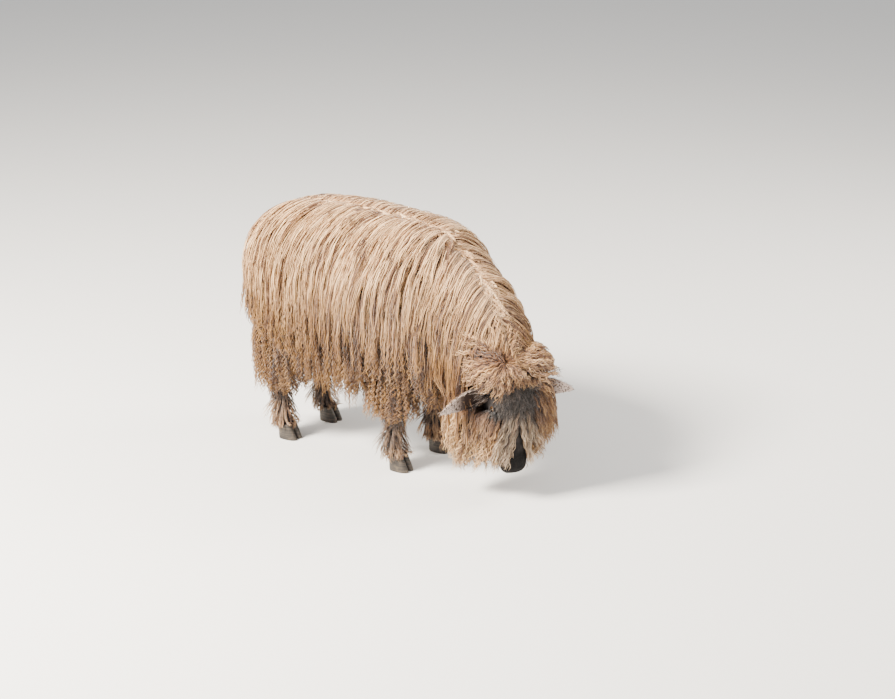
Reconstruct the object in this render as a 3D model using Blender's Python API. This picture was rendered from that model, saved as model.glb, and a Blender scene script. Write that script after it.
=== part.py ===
"""A long-woolled lamb, grazing, as a still life-size model. Metres, +Z up, +X the way the body faces.

The skin is lofted from rings along the trunk, neck and head. Locks of wool are draped over it and joined to
it, and the whole is then parted into torso, neck and head by thin cuts. Legs, tail, ears, eyes and claws are
bodies of their own, each fitted into the piece that it grows from.
"""

import math
import random

import bmesh
import bpy
from mathutils import Vector
from mathutils.bvhtree import BVHTree

UP = Vector((0, 0, 1))
GAP = 0.0003

# How far the wool stands out from the skin on the back, flanks and rump, and how low its hem hangs
COAT_TOP, COAT_SIDE, COAT_END = 0.045, 0.060, 0.050
# Share of the coat's depth that the solid core under the locks takes
CORE_SHARE = 0.45
# Locks: how far a root goes in, and the share of the full width at each place along one
ROOT_DEPTH = 0.012
LOCK_PROFILE = (0.6, 0.95, 1.0, 0.92, 0.68, 0.0)

# Trunk skin from rump to brisket: place along X, top, bottom and half width
TRUNK = (
    (-0.290, 0.505, 0.405, 0.046),
    (-0.268, 0.556, 0.360, 0.086),
    (-0.224, 0.588, 0.320, 0.120),
    (-0.155, 0.606, 0.298, 0.142),
    (-0.065, 0.612, 0.284, 0.156),
    (0.030, 0.608, 0.276, 0.158),
    (0.115, 0.604, 0.272, 0.150),
    (0.180, 0.596, 0.275, 0.136),
    (0.235, 0.572, 0.290, 0.114),
    (0.275, 0.512, 0.325, 0.078),
)
# Neck skin along its own line: centre, half width, reach towards the crest and towards the throat
NECK = (
    ((0.110, 0.000, 0.480), 0.100, 0.104, 0.115),
    ((0.200, 0.000, 0.468), 0.098, 0.108, 0.120),
    ((0.285, -0.010, 0.432), 0.086, 0.102, 0.105),
    ((0.360, -0.026, 0.386), 0.072, 0.086, 0.088),
    ((0.420, -0.044, 0.332), 0.062, 0.066, 0.074),
    ((0.462, -0.054, 0.284), 0.054, 0.054, 0.060),
)
# The head hangs from its occiput, turned to the right of the body, its face this steep
OCCIPUT = Vector((0.486, -0.056, 0.308))
HEAD_TURN = math.radians(-25)
FACE_PITCH = math.radians(77)
# Head skin from occiput to muzzle: along, middle's height over the axis, half width, above and below middle
HEAD = (
    (-0.026, -0.034, 0.034, 0.026, 0.028),
    (0.008, -0.032, 0.052, 0.040, 0.044),
    (0.045, -0.031, 0.059, 0.047, 0.060),
    (0.083, -0.032, 0.056, 0.043, 0.063),
    (0.116, -0.033, 0.046, 0.036, 0.054),
    (0.149, -0.035, 0.037, 0.031, 0.043),
    (0.180, -0.036, 0.033, 0.028, 0.034),
    (0.206, -0.037, 0.034, 0.026, 0.031),
    (0.226, -0.038, 0.029, 0.021, 0.025),
    (0.236, -0.039, 0.018, 0.012, 0.014),
)
# Eye centres, on both sides, and their radius
EYE, EYE_RADIUS = (0.070, 0.0455, -0.016), 0.0130
# Centre of the muzzle at the mouth's height, and the nostrils
MOUTH, NOSTRIL = (0.196, 0.0, -0.052), (0.229, 0.0135, -0.030)
# Ears: root on the head, length, greatest width, thickness of the leaf, how much they droop and reach forward
EAR_ROOT, EAR_LENGTH, EAR_WIDTH, EAR_LEAF = (0.030, 0.044, -0.030), 0.148, 0.050, 0.0036
EAR_DROOP, EAR_FORWARD = 0.14, 0.05

# Legs: hooves' places, and from sole to body the height, shift back, half width and half depth
STANCE = 0.083
FRONT_X, HIND_X = 0.165, -0.210
FRONT_LEG = (
    (0.0360, -0.010, 0.0200, 0.0215),
    (0.0560, -0.020, 0.0175, 0.0190),
    (0.0800, -0.026, 0.0205, 0.0240),
    (0.1000, -0.022, 0.0165, 0.0185),
    (0.1400, -0.018, 0.0160, 0.0175),
    (0.1800, -0.015, 0.0205, 0.0225),
    (0.2050, -0.016, 0.0220, 0.0235),
    (0.2400, -0.022, 0.0270, 0.0320),
    (0.2950, -0.030, 0.0330, 0.0420),
)
HIND_LEG = (
    (0.0360, -0.010, 0.0195, 0.0215),
    (0.0560, -0.021, 0.0170, 0.0190),
    (0.0800, -0.028, 0.0200, 0.0240),
    (0.1000, -0.026, 0.0160, 0.0190),
    (0.1400, -0.032, 0.0155, 0.0190),
    (0.1800, -0.040, 0.0175, 0.0225),
    (0.2150, -0.046, 0.0205, 0.0290),
    (0.2500, -0.036, 0.0250, 0.0350),
    (0.3050, -0.010, 0.0340, 0.0480),
)
# Height of the joint between claws and leg
FOOT = 0.041
# Claws: height, half width, place of the toe and of the heel
CLAW = (
    (0.0000, 0.0108, 0.0300, -0.0230),
    (0.0060, 0.0112, 0.0295, -0.0240),
    (0.0240, 0.0105, 0.0200, -0.0250),
    (FOOT - GAP, 0.0090, 0.0100, -0.0260),
)
CLAW_APART = 0.0125
# Tail: down the middle of the rump, centre, half width and half depth
TAIL = (
    ((-0.255, 0.0, 0.535), 0.026, 0.022),
    ((-0.310, 0.0, 0.530), 0.036, 0.026),
    ((-0.352, 0.0, 0.490), 0.042, 0.028),
    ((-0.368, 0.0, 0.430), 0.042, 0.026),
    ((-0.368, 0.0, 0.370), 0.034, 0.022),
    ((-0.362, 0.0, 0.325), 0.014, 0.012),
)
# Rows of locks from the back down, for the trunk and the neck: turn from the top in degrees, least length,
# height off the core at the tip, and how low the tips hang
TRUNK_TIERS = (
    (3, 0.165, 0.022, 0.50),
    (32, 0.170, 0.024, 0.42),
    (62, 0.180, 0.022, 0.30),
    (92, 0.200, 0.016, 0.17),
    (124, 0.200, 0.010, 0.125),
)
NECK_TIERS = (
    (5, 0.130, 0.010, 0.40),
    (38, 0.145, 0.013, 0.30),
    (72, 0.160, 0.018, 0.20),
    (104, 0.180, 0.022, 0.085),
    (140, 0.160, 0.014, 0.050),
)
LOCK_WIDTH, LOCK_THICK, LEAN_BACK = 0.100, 0.013, -0.25
# How much higher the hem hangs at the rump, and just before the shoulder, than behind the fore legs
HEM_RISE, HEM_FRONT = 0.040, 0.045
# How much the locks sink under their own weight, and the share of the faces kept once all are joined
WEIGHT, LIGHTEN = 1.1, 0.51
# On the rump: height, how many, how far to each side, length. On the tail: height, place across, length
RUMP_TIERS = (
    (0.570, 3, 0.085, 0.160),
    (0.475, 4, 0.095, 0.180),
    (0.370, 5, 0.115, 0.225),
    (0.310, 4, 0.105, 0.200),
)
TAIL_LOCKS = (
    (0.505, -0.016, 0.085),
    (0.505, 0.016, 0.085),
    (0.440, -0.018, 0.085),
    (0.440, 0.018, 0.085),
    (0.385, 0.0, 0.065),
)
# On a leg: height, how many, length, turn of the row
LEG_TIERS = ((0.150, 4, 0.080, 0.125), (0.098, 4, 0.053, 0.625))
# Seats of the wool on the crown and cheeks, and the whorl that the topknot grows from, on the head
CROWN, CHEEKS, WHORL = (-0.004, 0.0, -0.020), (0.105, 0.050, -0.052), (-0.020, 0.0, 0.005)
# Topknot: distance from the whorl, directions from the forehead's in degrees, length, height off, width, and
# how far its locks rise before they fall
TOPKNOT = (
    (0.012, (-50, 0, 50), 0.215, 0.016, 0.042, 0.1),
    (0.034, (-95, -28, 28, 95, 140, -140), 0.165, 0.020, 0.042, 0.1),
    (0.060, (-112, -78, 78, 112), 0.165, 0.058, 0.056, 0.9),
    (0.080, (-90, 90), 0.130, 0.050, 0.056, 0.6),
)
# Cheeks: place along the head, depth from its axis, length, height off, how far out and how far back it lies
CHEEK = (
    (0.045, -0.066, 0.155, 0.060, 1.6, 0.25),
    (0.080, -0.034, 0.140, 0.042, 1.3, -0.10),
    (0.092, -0.088, 0.135, 0.045, 1.2, 0.25),
    (0.115, -0.055, 0.115, 0.036, 1.2, -0.10),
    (0.145, -0.030, 0.090, 0.016, 0.8, -0.10),
    (0.070, -0.100, 0.170, 0.040, 0.5, 0.90),
    (0.040, -0.100, 0.200, 0.050, 0.6, 1.40),
)
# Cuts that part the body: a place on each, and its direction
SHOULDER_CUT = (Vector((0.285, 0, 0.4)), Vector((1, 0, 0)))
POLL_BACK = 0.062


def clear_scene():
    for obj in list(bpy.data.objects):
        bpy.data.objects.remove(obj)


def material(name, colour, roughness):
    made = bpy.data.materials.new(name)
    made.use_nodes = True
    shader = made.node_tree.nodes["Principled BSDF"]
    shader.inputs["Base Color"].default_value = (*colour, 1)
    shader.inputs["Roughness"].default_value = roughness
    shader.inputs["Metallic"].default_value = 0
    return made


def heading():
    return Vector((math.cos(HEAD_TURN), math.sin(HEAD_TURN), 0))


def head_axes():
    """The head's own directions: along the face to the muzzle, to the lamb's left, out of the forehead."""
    along = heading() * math.cos(FACE_PITCH) - UP * math.sin(FACE_PITCH)
    left = UP.cross(heading())
    return along, left, along.cross(left)


def on_head(along, left, out):
    a, b, c = head_axes()
    return OCCIPUT + a * along + b * left + c * out


def smooth_rows(rows, steps):
    """The rows and, between each two, steps - 1 more on a smooth curve through them all."""
    flat = [[n for item in row for n in (item if isinstance(item, tuple) else (item,))] for row in rows]
    last, made = len(flat) - 1, []
    for k in range(last):
        p0, p1, p2, p3 = (flat[min(max(k + d, 0), last)] for d in (-1, 0, 1, 2))
        for i in range(steps):
            t = i / steps
            made.append([
                b + t * (c - a) / 2 + t * t * (a - 2.5 * b + 2 * c - d / 2)
                + t ** 3 * ((d - a) / 2 + 1.5 * (b - c))
                for a, b, c, d in zip(p0, p1, p2, p3)
            ])
    return made + [flat[last]]


def row_at(rows, key):
    """The row at a value of its first number, on straight lines between the given ones."""
    for a, b in zip(rows, rows[1:]):
        if key <= b[0] or b is rows[-1]:
            t = (key - a[0]) / (b[0] - a[0])
            return [m + (n - m) * t for m, n in zip(a, b)]


def ring(centre, across, up, half_width, above, below, sides=16, squareness=2.0):
    """A closed section, half_width to each side, above and below along up. Squareness over 2 fills it."""
    points = []
    for k in range(sides):
        angle = 2 * math.pi * (k + 0.5) / sides
        c, s = math.cos(angle), math.sin(angle)
        reach = above if s > 0 else below
        x = half_width * math.copysign(abs(c) ** (2 / squareness), c)
        y = reach * math.copysign(abs(s) ** (2 / squareness), s)
        points.append(centre + across * x + up * y)
    return points


def add_body(name, points, faces):
    data = bpy.data.meshes.new(name)
    data.from_pydata([tuple(p) for p in points], [], faces)
    mesh = bmesh.new()
    mesh.from_mesh(data)
    bmesh.ops.recalc_face_normals(mesh, faces=mesh.faces)
    if mesh.calc_volume(signed=True) < 0:
        bmesh.ops.reverse_faces(mesh, faces=mesh.faces)
    mesh.to_mesh(data)
    mesh.free()
    obj = bpy.data.objects.new(name, data)
    bpy.context.scene.collection.objects.link(obj)
    return obj


def loft(name, rings, tip=None):
    """A closed body through rings of equal count, with a flat face at each end, or a point at the far one."""
    count = len(rings[0])
    points = [p for row in rings for p in row]
    faces = [tuple(range(count))]
    for r in range(len(rings) - 1):
        for k in range(count):
            j = (k + 1) % count
            a, b = r * count, (r + 1) * count
            faces += [(a + k, a + j, b + j), (a + k, b + j, b + k)]
    last = (len(rings) - 1) * count
    if tip is None:
        faces.append(tuple(last + k for k in range(count)))
    else:
        points.append(tip)
        faces += [(last + k, last + (k + 1) % count, len(points) - 1) for k in range(count)]
    return add_body(name, points, faces)


def ball(name, centre, radius, across=12, stretch=(1, 1, 1), axes=None):
    """A ball, or an egg of it, with its poles along the third of its axes."""
    ax, ay, az = axes or (Vector((1, 0, 0)), Vector((0, 1, 0)), UP)
    rows = across // 2
    points = [centre - az * radius * stretch[2]]
    for r in range(1, rows):
        lift = -math.cos(math.pi * r / rows)
        wide = math.sin(math.pi * r / rows)
        for k in range(across):
            turn = 2 * math.pi * k / across
            x, y = wide * math.cos(turn) * stretch[0], wide * math.sin(turn) * stretch[1]
            points.append(centre + (ax * x + ay * y + az * lift * stretch[2]) * radius)
    points.append(centre + az * radius * stretch[2])
    faces = []
    for k in range(across):
        j = (k + 1) % across
        faces.append((0, 1 + j, 1 + k))
        for r in range(rows - 2):
            a, b = 1 + r * across, 1 + (r + 1) * across
            faces += [(a + k, a + j, b + j), (a + k, b + j, b + k)]
        a = 1 + (rows - 2) * across
        faces.append((a + k, a + j, len(points) - 1))
    return add_body(name, points, faces)


def half_space(point, direction, reach=2.0):
    """A large block that fills the side of the plane that the direction points to."""
    direction = direction.normalized()
    side = direction.orthogonal().normalized()
    other = direction.cross(side)
    corners = []
    for d in (0, reach):
        for a, b in ((-1, -1), (1, -1), (1, 1), (-1, 1)):
            corners.append(point + direction * d + side * a * reach + other * b * reach)
    faces = [(0, 1, 2, 3), (4, 5, 6, 7), (0, 1, 5, 4), (1, 2, 6, 5), (2, 3, 7, 6), (3, 0, 4, 7)]
    return add_body("half_space", corners, faces)


def copied(obj, name):
    made = bpy.data.objects.new(name, obj.data.copy())
    bpy.context.scene.collection.objects.link(made)
    return made


def boolean(obj, others, operation):
    """obj joined with, or cut by, the others, which are then removed."""
    group = bpy.data.collections.new("operands")
    bpy.context.scene.collection.children.link(group)
    for other in others:
        bpy.context.scene.collection.objects.unlink(other)
        group.objects.link(other)
    step = obj.modifiers.new("boolean", "BOOLEAN")
    step.operation, step.operand_type, step.collection = operation, "COLLECTION", group
    step.solver = "MANIFOLD"
    bpy.context.view_layer.update()
    graph = bpy.context.evaluated_depsgraph_get()
    joined = bpy.data.meshes.new_from_object(obj.evaluated_get(graph))
    obj.modifiers.clear()
    obj.data = joined
    for other in others:
        bpy.data.objects.remove(other)
    bpy.data.collections.remove(group)
    return obj


def keep_largest(obj):
    """Leaves only the closed surface that holds the most. Surfaces that touch along an edge are apart."""
    mesh = bmesh.new()
    mesh.from_mesh(obj.data)
    left, pieces = set(mesh.faces), []
    while left:
        stack = [left.pop()]
        piece = list(stack)
        while stack:
            for edge in stack.pop().edges:
                if len(edge.link_faces) != 2:
                    continue
                for face in edge.link_faces:
                    if face in left:
                        left.remove(face)
                        stack.append(face)
                        piece.append(face)
        volume = 0.0
        for face in piece:
            corners = [v.co for v in face.verts]
            for a, b in zip(corners[1:], corners[2:]):
                volume += corners[0].dot(a.cross(b)) / 6
        pieces.append((volume, piece))
    keep = set(max(pieces, key=lambda item: item[0])[1])
    bmesh.ops.delete(mesh, geom=[f for f in mesh.faces if f not in keep], context="FACES")
    mesh.to_mesh(obj.data)
    mesh.free()
    return obj


def trunk_frame(row, grow):
    """Middle, half width, reach above and below of a trunk section, at the skin or grown into the wool."""
    x, top, bottom, half_width = row
    first, last = TRUNK[0][0], TRUNK[-1][0]
    place = x + grow * COAT_END * (2 * (x - first) / (last - first) - 1)
    middle = (top + bottom) / 2
    above = top - middle + grow * COAT_TOP
    return Vector((place, 0, middle)), half_width + grow * COAT_SIDE, above, middle - bottom


def trunk_rings(grow):
    rings = []
    for row in smooth_rows(TRUNK, 2):
        centre, width, above, below = trunk_frame(row, grow)
        rings.append(ring(centre, Vector((0, 1, 0)), UP, width, above, below, 16, 2 + 0.5 * grow))
    return rings


def on_trunk(x, turn, grow):
    """A place on the trunk: turn is 0 along the back, and a quarter turn on the left flank."""
    centre, width, above, below = trunk_frame(row_at(TRUNK, x), grow)
    power = 2 / (2 + 0.5 * grow)
    across, up = math.sin(turn), math.cos(turn)
    lift = (above if up > 0 else below) * math.copysign(abs(up) ** power, up)
    return centre + Vector((0, width * math.copysign(abs(across) ** power, across), lift))


def neck_frame(share, grow):
    """Section of the neck at a share of its length: middle, across, up, half width, above and below."""
    rows = smooth_rows(NECK, 4)
    at = min(int(share * (len(rows) - 1)), len(rows) - 2)
    t = share * (len(rows) - 1) - at
    row = [m + (n - m) * t for m, n in zip(rows[at], rows[at + 1])]
    low, high = max(at - 2, 0), min(at + 3, len(rows) - 1)
    ahead = (Vector(rows[high][:3]) - Vector(rows[low][:3])).normalized()
    across = UP.cross(ahead).normalized()
    width = row[3] + grow * COAT_SIDE
    return Vector(row[:3]), across, ahead.cross(across), width, row[4] + grow * COAT_TOP, row[5] + grow * 0.03


def neck_rings(grow):
    rings = []
    for k in range(11):
        centre, across, up, width, above, below = neck_frame(k / 10, grow)
        rings.append(ring(centre, across, up, width, above, below, 16))
    return rings


def on_neck(share, turn, grow):
    centre, across, up, width, above, below = neck_frame(share, grow)
    lift = math.cos(turn)
    return centre + across * width * math.sin(turn) + up * lift * (above if lift > 0 else below)


def head_rings():
    along, left, out = head_axes()
    rings = []
    for place, middle, half_width, above, below in smooth_rows(HEAD, 2):
        rings.append(ring(on_head(place, 0, middle), left, out, half_width, above, below, 20, 2.15))
    return rings


def drape(tree, root, lie, length, stand, weight, steps=5, lift=0.010):
    """A lock's path from its root: it follows its lie, sinks under its weight and stays off the surface, more so
    towards its tip, so that each row lies over the roots of the next."""
    place, course, step = root, lie.normalized(), length / steps
    near, normal, _, _ = tree.find_nearest(root)
    path = [(root - normal * ROOT_DEPTH, normal)]
    facing = normal
    for k in range(steps):
        share = (k + 1) / steps
        course = (course - UP * weight * (0.4 + 0.6 * share)).normalized()
        target = place + course * step
        near, normal, _, _ = tree.find_nearest(target)
        height = (target - near).dot(normal)
        want = lift + stand * share
        if height < want:
            target = near + normal * want
        course = (target - place).normalized()
        place = place + course * step
        facing = (facing * 0.55 + normal * 0.45).normalized()
        path.append((place, facing))
    return path


def lock(name, path, width, thick, wave=0.0, phase=0.0):
    """A tapered body along the path that ends in a point: flat beneath, a low ridge along its outer face."""
    rings, last = [], len(path) - 1
    for k, (place, facing) in enumerate(path):
        ahead = path[min(k + 1, last)][0] - path[max(k - 1, 0)][0]
        side = ahead.cross(facing).normalized()
        out = side.cross(ahead).normalized()
        share = k / last
        full = LOCK_PROFILE[min(k, len(LOCK_PROFILE) - 1)]
        place = place + side * wave * math.sin(phase + 2.6 * k) * share
        if k == last:
            return loft(name, rings, place)
        half, deep = width * full / 2, thick * full / 2
        rings.append([place + side * half - out * deep, place + out * deep, place - side * half - out * deep])


def leg(name, side, front, grown=0.0):
    rings = []
    rows, x = (FRONT_LEG, FRONT_X) if front else (HIND_LEG, HIND_X)
    for height, back, half_width, half_depth in rows:
        centre = Vector((x + back, side * STANCE, height))
        across, ahead = Vector((0, 1, 0)), Vector((1, 0, 0))
        deep = half_depth + grown
        rings.append(ring(centre, across, ahead, half_width + grown, deep, deep, 12))
    if grown:
        rings[-1] = [p + UP * grown for p in rings[-1]]
    return loft(name, rings)


def leg_room(name, side, front):
    """The space around a shank and its tufts that the body's wool leaves."""
    rows, x = (FRONT_LEG, FRONT_X) if front else (HIND_LEG, HIND_X)
    rings = []
    for height in (-0.02, 0.09, 0.175, 0.195):
        back = row_at(rows, max(height, rows[0][0]))[1]
        reach = 0.045 if height < 0.18 else 0.026
        centre = Vector((x + back, side * STANCE, height))
        across, ahead = Vector((0, 1, 0)), Vector((1, 0, 0))
        rings.append(ring(centre, across, ahead, reach, reach + 0.004, reach + 0.004, 12))
    return loft(name, rings)


def tail_room(name):
    """The space behind the rump that the body's wool leaves to the tail and its locks."""
    rings = []
    for height, reach in ((0.275, 0.050), (0.40, 0.058), (0.515, 0.054)):
        centre = Vector((-0.392, 0, height))
        rings.append(ring(centre, Vector((0, 1, 0)), Vector((1, 0, 0)), reach, 0.034, 0.06, 12))
    return loft(name, rings)


def claw(name, x, side, inner):
    """One half of a hoof. The two lie either side of the foot's middle, flat faces towards each other."""
    middle = side * (STANCE + (-CLAW_APART if inner else CLAW_APART))
    away = -side if inner else side
    rings = []
    for height, half_width, toe, heel in CLAW:
        inner_edge, outer_edge = -away * half_width * 0.95, away * half_width
        outline = (
            (heel, inner_edge * 0.6), (heel * 0.5, inner_edge),
            (toe * 0.2, inner_edge), (toe * 0.75, inner_edge),
            (toe, inner_edge * 0.3), (toe * 0.86, outer_edge * 0.35), (toe * 0.5, outer_edge * 0.8),
            (0.0, outer_edge), (heel * 0.6, outer_edge * 0.95), (heel, outer_edge * 0.45),
        )
        rings.append([Vector((x + a, middle + b, height)) for a, b in outline])
    return loft(name, rings)


def tail(name, grown=0.0):
    centres = [Vector(row[0]) for row in TAIL]
    rings = []
    for k, (_, half_width, half_depth) in enumerate(TAIL):
        ahead = centres[min(k + 1, len(TAIL) - 1)] - centres[max(k - 1, 0)]
        across = Vector((0, 1, 0))
        up = ahead.cross(across).normalized()
        end = {0: -1, len(TAIL) - 1: 1}.get(k, 0)
        centre = centres[k] + ahead.normalized() * grown * 1.5 * end
        rings.append(ring(centre, across, up, half_width + grown, half_depth + grown, half_depth + grown, 12))
    return loft(name, rings)


def ear_frame(side, s):
    """Place and directions at the share s of an ear's length: its line, across the leaf, out of the cup."""
    along, left, out = head_axes()
    start = on_head(EAR_ROOT[0], side * EAR_ROOT[1], EAR_ROOT[2])
    line = (left * side - UP * EAR_DROOP + heading() * EAR_FORWARD).normalized()
    opening = (heading() - UP * 0.25 - line * heading().dot(line)).normalized()
    opening = (opening - line * opening.dot(line)).normalized()
    across = line.cross(opening).normalized()
    return start + line * EAR_LENGTH * s - UP * 0.012 * s * s, line, across, opening


def ear(name, side, grown=0.0):
    """A leaf that is rolled to a tube at its root and opens into a cup towards its point."""
    rings = []
    for s, width, sweep, deep in (
        (0.00, 0.50, 150, 0.90), (0.14, 0.62, 140, 0.85), (0.28, 0.88, 112, 0.62), (0.45, 1.00, 92, 0.50),
        (0.62, 0.90, 80, 0.42), (0.78, 0.66, 72, 0.40), (0.90, 0.38, 66, 0.42), (0.97, 0.16, 60, 0.60),
    ):
        centre, _, across, opening = ear_frame(side, s)
        half = EAR_WIDTH * width / 2
        leaf = min(EAR_LEAF, half * 0.8) + 2 * grown
        outer, inner = [], []
        for k in range(7):
            turn = math.radians(sweep * (2 * k / 6 - 1))
            a, b = math.sin(turn), -math.cos(turn)
            outer.append(centre + across * (half + grown) * a + opening * (half * deep + grown) * b)
            inner.append(centre + across * (half + grown - leaf) * a
                         + opening * (half * deep + grown - leaf) * b)
        rings.append(outer + inner[::-1])
    return loft(name, rings)


def ear_plug(name, side, grown):
    """The space that an ear takes in the head and its wool."""
    rings = []
    widths = (-0.01, 0.50), (0.14, 0.62), (0.28, 0.88), (0.45, 1.00), (0.62, 0.90), (0.78, 0.66), (1.05, 0.20)
    for s, width in widths:
        centre, _, across, opening = ear_frame(side, s)
        half = EAR_WIDTH * width / 2 / math.cos(math.pi / 12) + grown
        rings.append(ring(centre, across, opening, half, half, half, 12))
    return loft(name, rings)


def eye_window(name, side):
    """The space kept open through the wool in front of an eye."""
    along, left, out = head_axes()
    rings = []
    for reach, radius in ((0.004, 0.0105), (0.016, 0.0125), (0.14, 0.030)):
        centre = on_head(EYE[0], side * EYE[1], EYE[2]) + (left * side + out * 0.45).normalized() * reach
        rings.append(ring(centre, along, out, radius, radius, radius, 12))
    return loft(name, rings)


def join_all(name, objs):
    first = objs[0]
    first.name = name
    return boolean(first, objs[1:], "UNION") if len(objs) > 1 else first


def finish(obj, name, shade):
    obj.name = name
    obj.data.name = name
    obj.data.materials.clear()
    obj.data.materials.append(shade)


def lightened(obj, share):
    """The same form on fewer faces: the small ones that the union made are taken up by their neighbours."""
    step = obj.modifiers.new("lighten", "DECIMATE")
    step.ratio = share
    step.use_collapse_triangulate = True
    bpy.context.view_layer.update()
    graph = bpy.context.evaluated_depsgraph_get()
    lighter = bpy.data.meshes.new_from_object(obj.evaluated_get(graph))
    obj.modifiers.clear()
    obj.data = lighter
    return obj


def trunk_locks(tree, rng):
    made = []
    for side in (1, -1):
        for tier, (turn, length, stand, low) in enumerate(TRUNK_TIERS):
            count = 7
            for k in range(count):
                share = (k + 0.5 + (0.25 if tier % 2 else -0.25) + rng.uniform(-0.12, 0.12)) / count
                x = TRUNK[0][0] - 0.012 + (TRUNK[-1][0] - TRUNK[0][0] + 0.02) * share
                angle = side * math.radians(turn + rng.uniform(-3, 3))
                root = on_trunk(x, angle, CORE_SHARE)
                lie = on_trunk(x, angle + side * 0.1, CORE_SHARE) - root
                lean = LEAN_BACK * (1 - tier / 5) * max(0, min(1, (x + 0.30) / 0.15))
                lie = lie.normalized() + Vector((lean, 0, 0))
                rise = HEM_RISE * (0.8 - share) / 0.8 if share < 0.8 else HEM_FRONT * (share - 0.8) / 0.2
                hem = low + rise
                reach = max(length, (root.z - hem) * 1.05) * rng.uniform(0.94, 1.05)
                path = drape(tree, root, lie, reach, stand, WEIGHT, lift=0.009 + 0.008 * (k % 2))
                width = LOCK_WIDTH * rng.uniform(0.9, 1.1)
                made.append(lock("lock", path, width, LOCK_THICK, 0.004, rng.uniform(0, 6)))
    for height, count, width, length in RUMP_TIERS:
        for k in range(count):
            y = width * (2 * (k + 0.5) / count - 1)
            near, normal, _, _ = tree.find_nearest(Vector((-0.40, y * 1.3, height)))
            reach, lie = length * rng.uniform(0.94, 1.05), Vector((-0.3, y * 3, -0.7))
            path = drape(tree, near, lie, reach, 0.016, WEIGHT, lift=0.009 + 0.008 * (k % 2))
            made.append(lock("lock", path, LOCK_WIDTH * 0.85, LOCK_THICK, 0.004, rng.uniform(0, 6)))
    return made


def neck_locks(tree, rng):
    made = []
    for side in (1, -1):
        for tier, (turn, length, stand, low) in enumerate(NECK_TIERS):
            count = 2 if tier == 3 else 3
            for k in range(count):
                share = 0.40 + 0.56 * (k + 0.5 + (0.2 if tier % 2 else -0.2) + rng.uniform(-0.1, 0.1)) / count
                angle = side * math.radians(turn + rng.uniform(-4, 4))
                root = on_neck(share, angle, CORE_SHARE)
                lie = on_neck(share, angle + side * 0.1, CORE_SHARE) - root
                lie = lie.normalized() + heading() * 0.1
                reach = max(length, (root.z - low) * 1.05) * rng.uniform(0.94, 1.05)
                path = drape(tree, root, lie, reach, stand, WEIGHT, lift=0.009 + 0.008 * (k % 2))
                width = LOCK_WIDTH * rng.uniform(0.85, 1.05)
                made.append(lock("lock", path, width, LOCK_THICK, 0.004, rng.uniform(0, 6)))
    return made


def head_locks(tree, rng):
    """The topknot radiates from the whorl on the crown, and long wool hangs from the cheeks by the face."""
    along, left, out = head_axes()
    made = []
    for radius, angles, length, stand, width, rise in TOPKNOT:
        for angle in angles:
            turn = math.radians(angle + rng.uniform(-4, 4))
            lie = out * math.cos(turn) + left * math.sin(turn)
            seek = on_head(WHORL[0] - 0.03, WHORL[1], WHORL[2]) + lie * radius
            near, normal, _, _ = tree.find_nearest(seek)
            path = drape(tree, near, lie - along * rise, length * rng.uniform(0.92, 1.08), stand, 1.1)
            made.append(lock("lock", path, width, width * 0.28, 0.003, rng.uniform(0, 6)))
    for side in (1, -1):
        for place, depth, length, stand, spread, back in CHEEK:
            seek = on_head(place, side * 0.12, depth)
            near, normal, _, _ = tree.find_nearest(seek)
            lie = left * side * spread + along * 0.5 - out * back
            path = drape(tree, near, lie, length * rng.uniform(0.92, 1.08), stand, 0.75)
            made.append(lock("lock", path, 0.066 * rng.uniform(0.9, 1.1), 0.014, 0.003, rng.uniform(0, 6)))
    return made


def leg_locks(tree, side, front, rng):
    rows, x = (FRONT_LEG, FRONT_X) if front else (HIND_LEG, HIND_X)
    made = []
    for height, count, length, shift in LEG_TIERS:
        back = row_at(rows, height)[1]
        for k in range(count):
            turn = 2 * math.pi * (k + shift + rng.uniform(-0.08, 0.08)) / count
            away = Vector((math.cos(turn), math.sin(turn), 0))
            near, normal, _, _ = tree.find_nearest(Vector((x + back, side * STANCE, height)) + away * 0.06)
            path = drape(tree, near, away * 0.35 - UP, length * rng.uniform(0.9, 1.05), 0.0115, 0.5, 4)
            path[0] = (near - normal * 0.007, normal)
            made.append(lock("lock", path, 0.038, 0.008))
    return made


def tail_locks(tree, rng):
    made = []
    for height, y, length in TAIL_LOCKS:
        near, normal, _, _ = tree.find_nearest(Vector((-0.45, y, height)))
        path = drape(tree, near, Vector((-0.5, y * 4, -1)), length, 0.010, 0.5, 4)
        path[0] = (near - normal * 0.008, normal)
        made.append(lock("lock", path, 0.034, 0.010))
    return made


def tree_of(objs):
    """One search tree over the surfaces of several bodies."""
    mesh = bmesh.new()
    for obj in objs:
        mesh.from_mesh(obj.data)
    tree = BVHTree.FromBMesh(mesh)
    mesh.free()
    return tree


def cushions():
    """Raised seats for the wool of the cheeks and the crown."""
    axes = head_axes()
    made = [ball("cushion", on_head(*CROWN), 0.05, 12, (0.50, 1.15, 0.95), axes)]
    for side in (1, -1):
        centre = on_head(CHEEKS[0], side * CHEEKS[1], CHEEKS[2])
        made.append(ball("cushion", centre, 0.05, 12, (1.20, 0.60, 0.78), axes))
    return made


def strip(name, path, normals, half_width, half_depth, axis):
    """A thin four-sided body along a path on the surface, thinner at both ends."""
    rings, last = [], len(path) - 1
    for k, (place, normal) in enumerate(zip(path, normals)):
        full = 0.35 + 0.65 * math.sin(math.pi * k / last)
        a, b = axis * half_width * full, normal * half_depth * full
        rings.append([place + a, place + b, place - a, place - b])
    return loft(name, rings)


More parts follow.
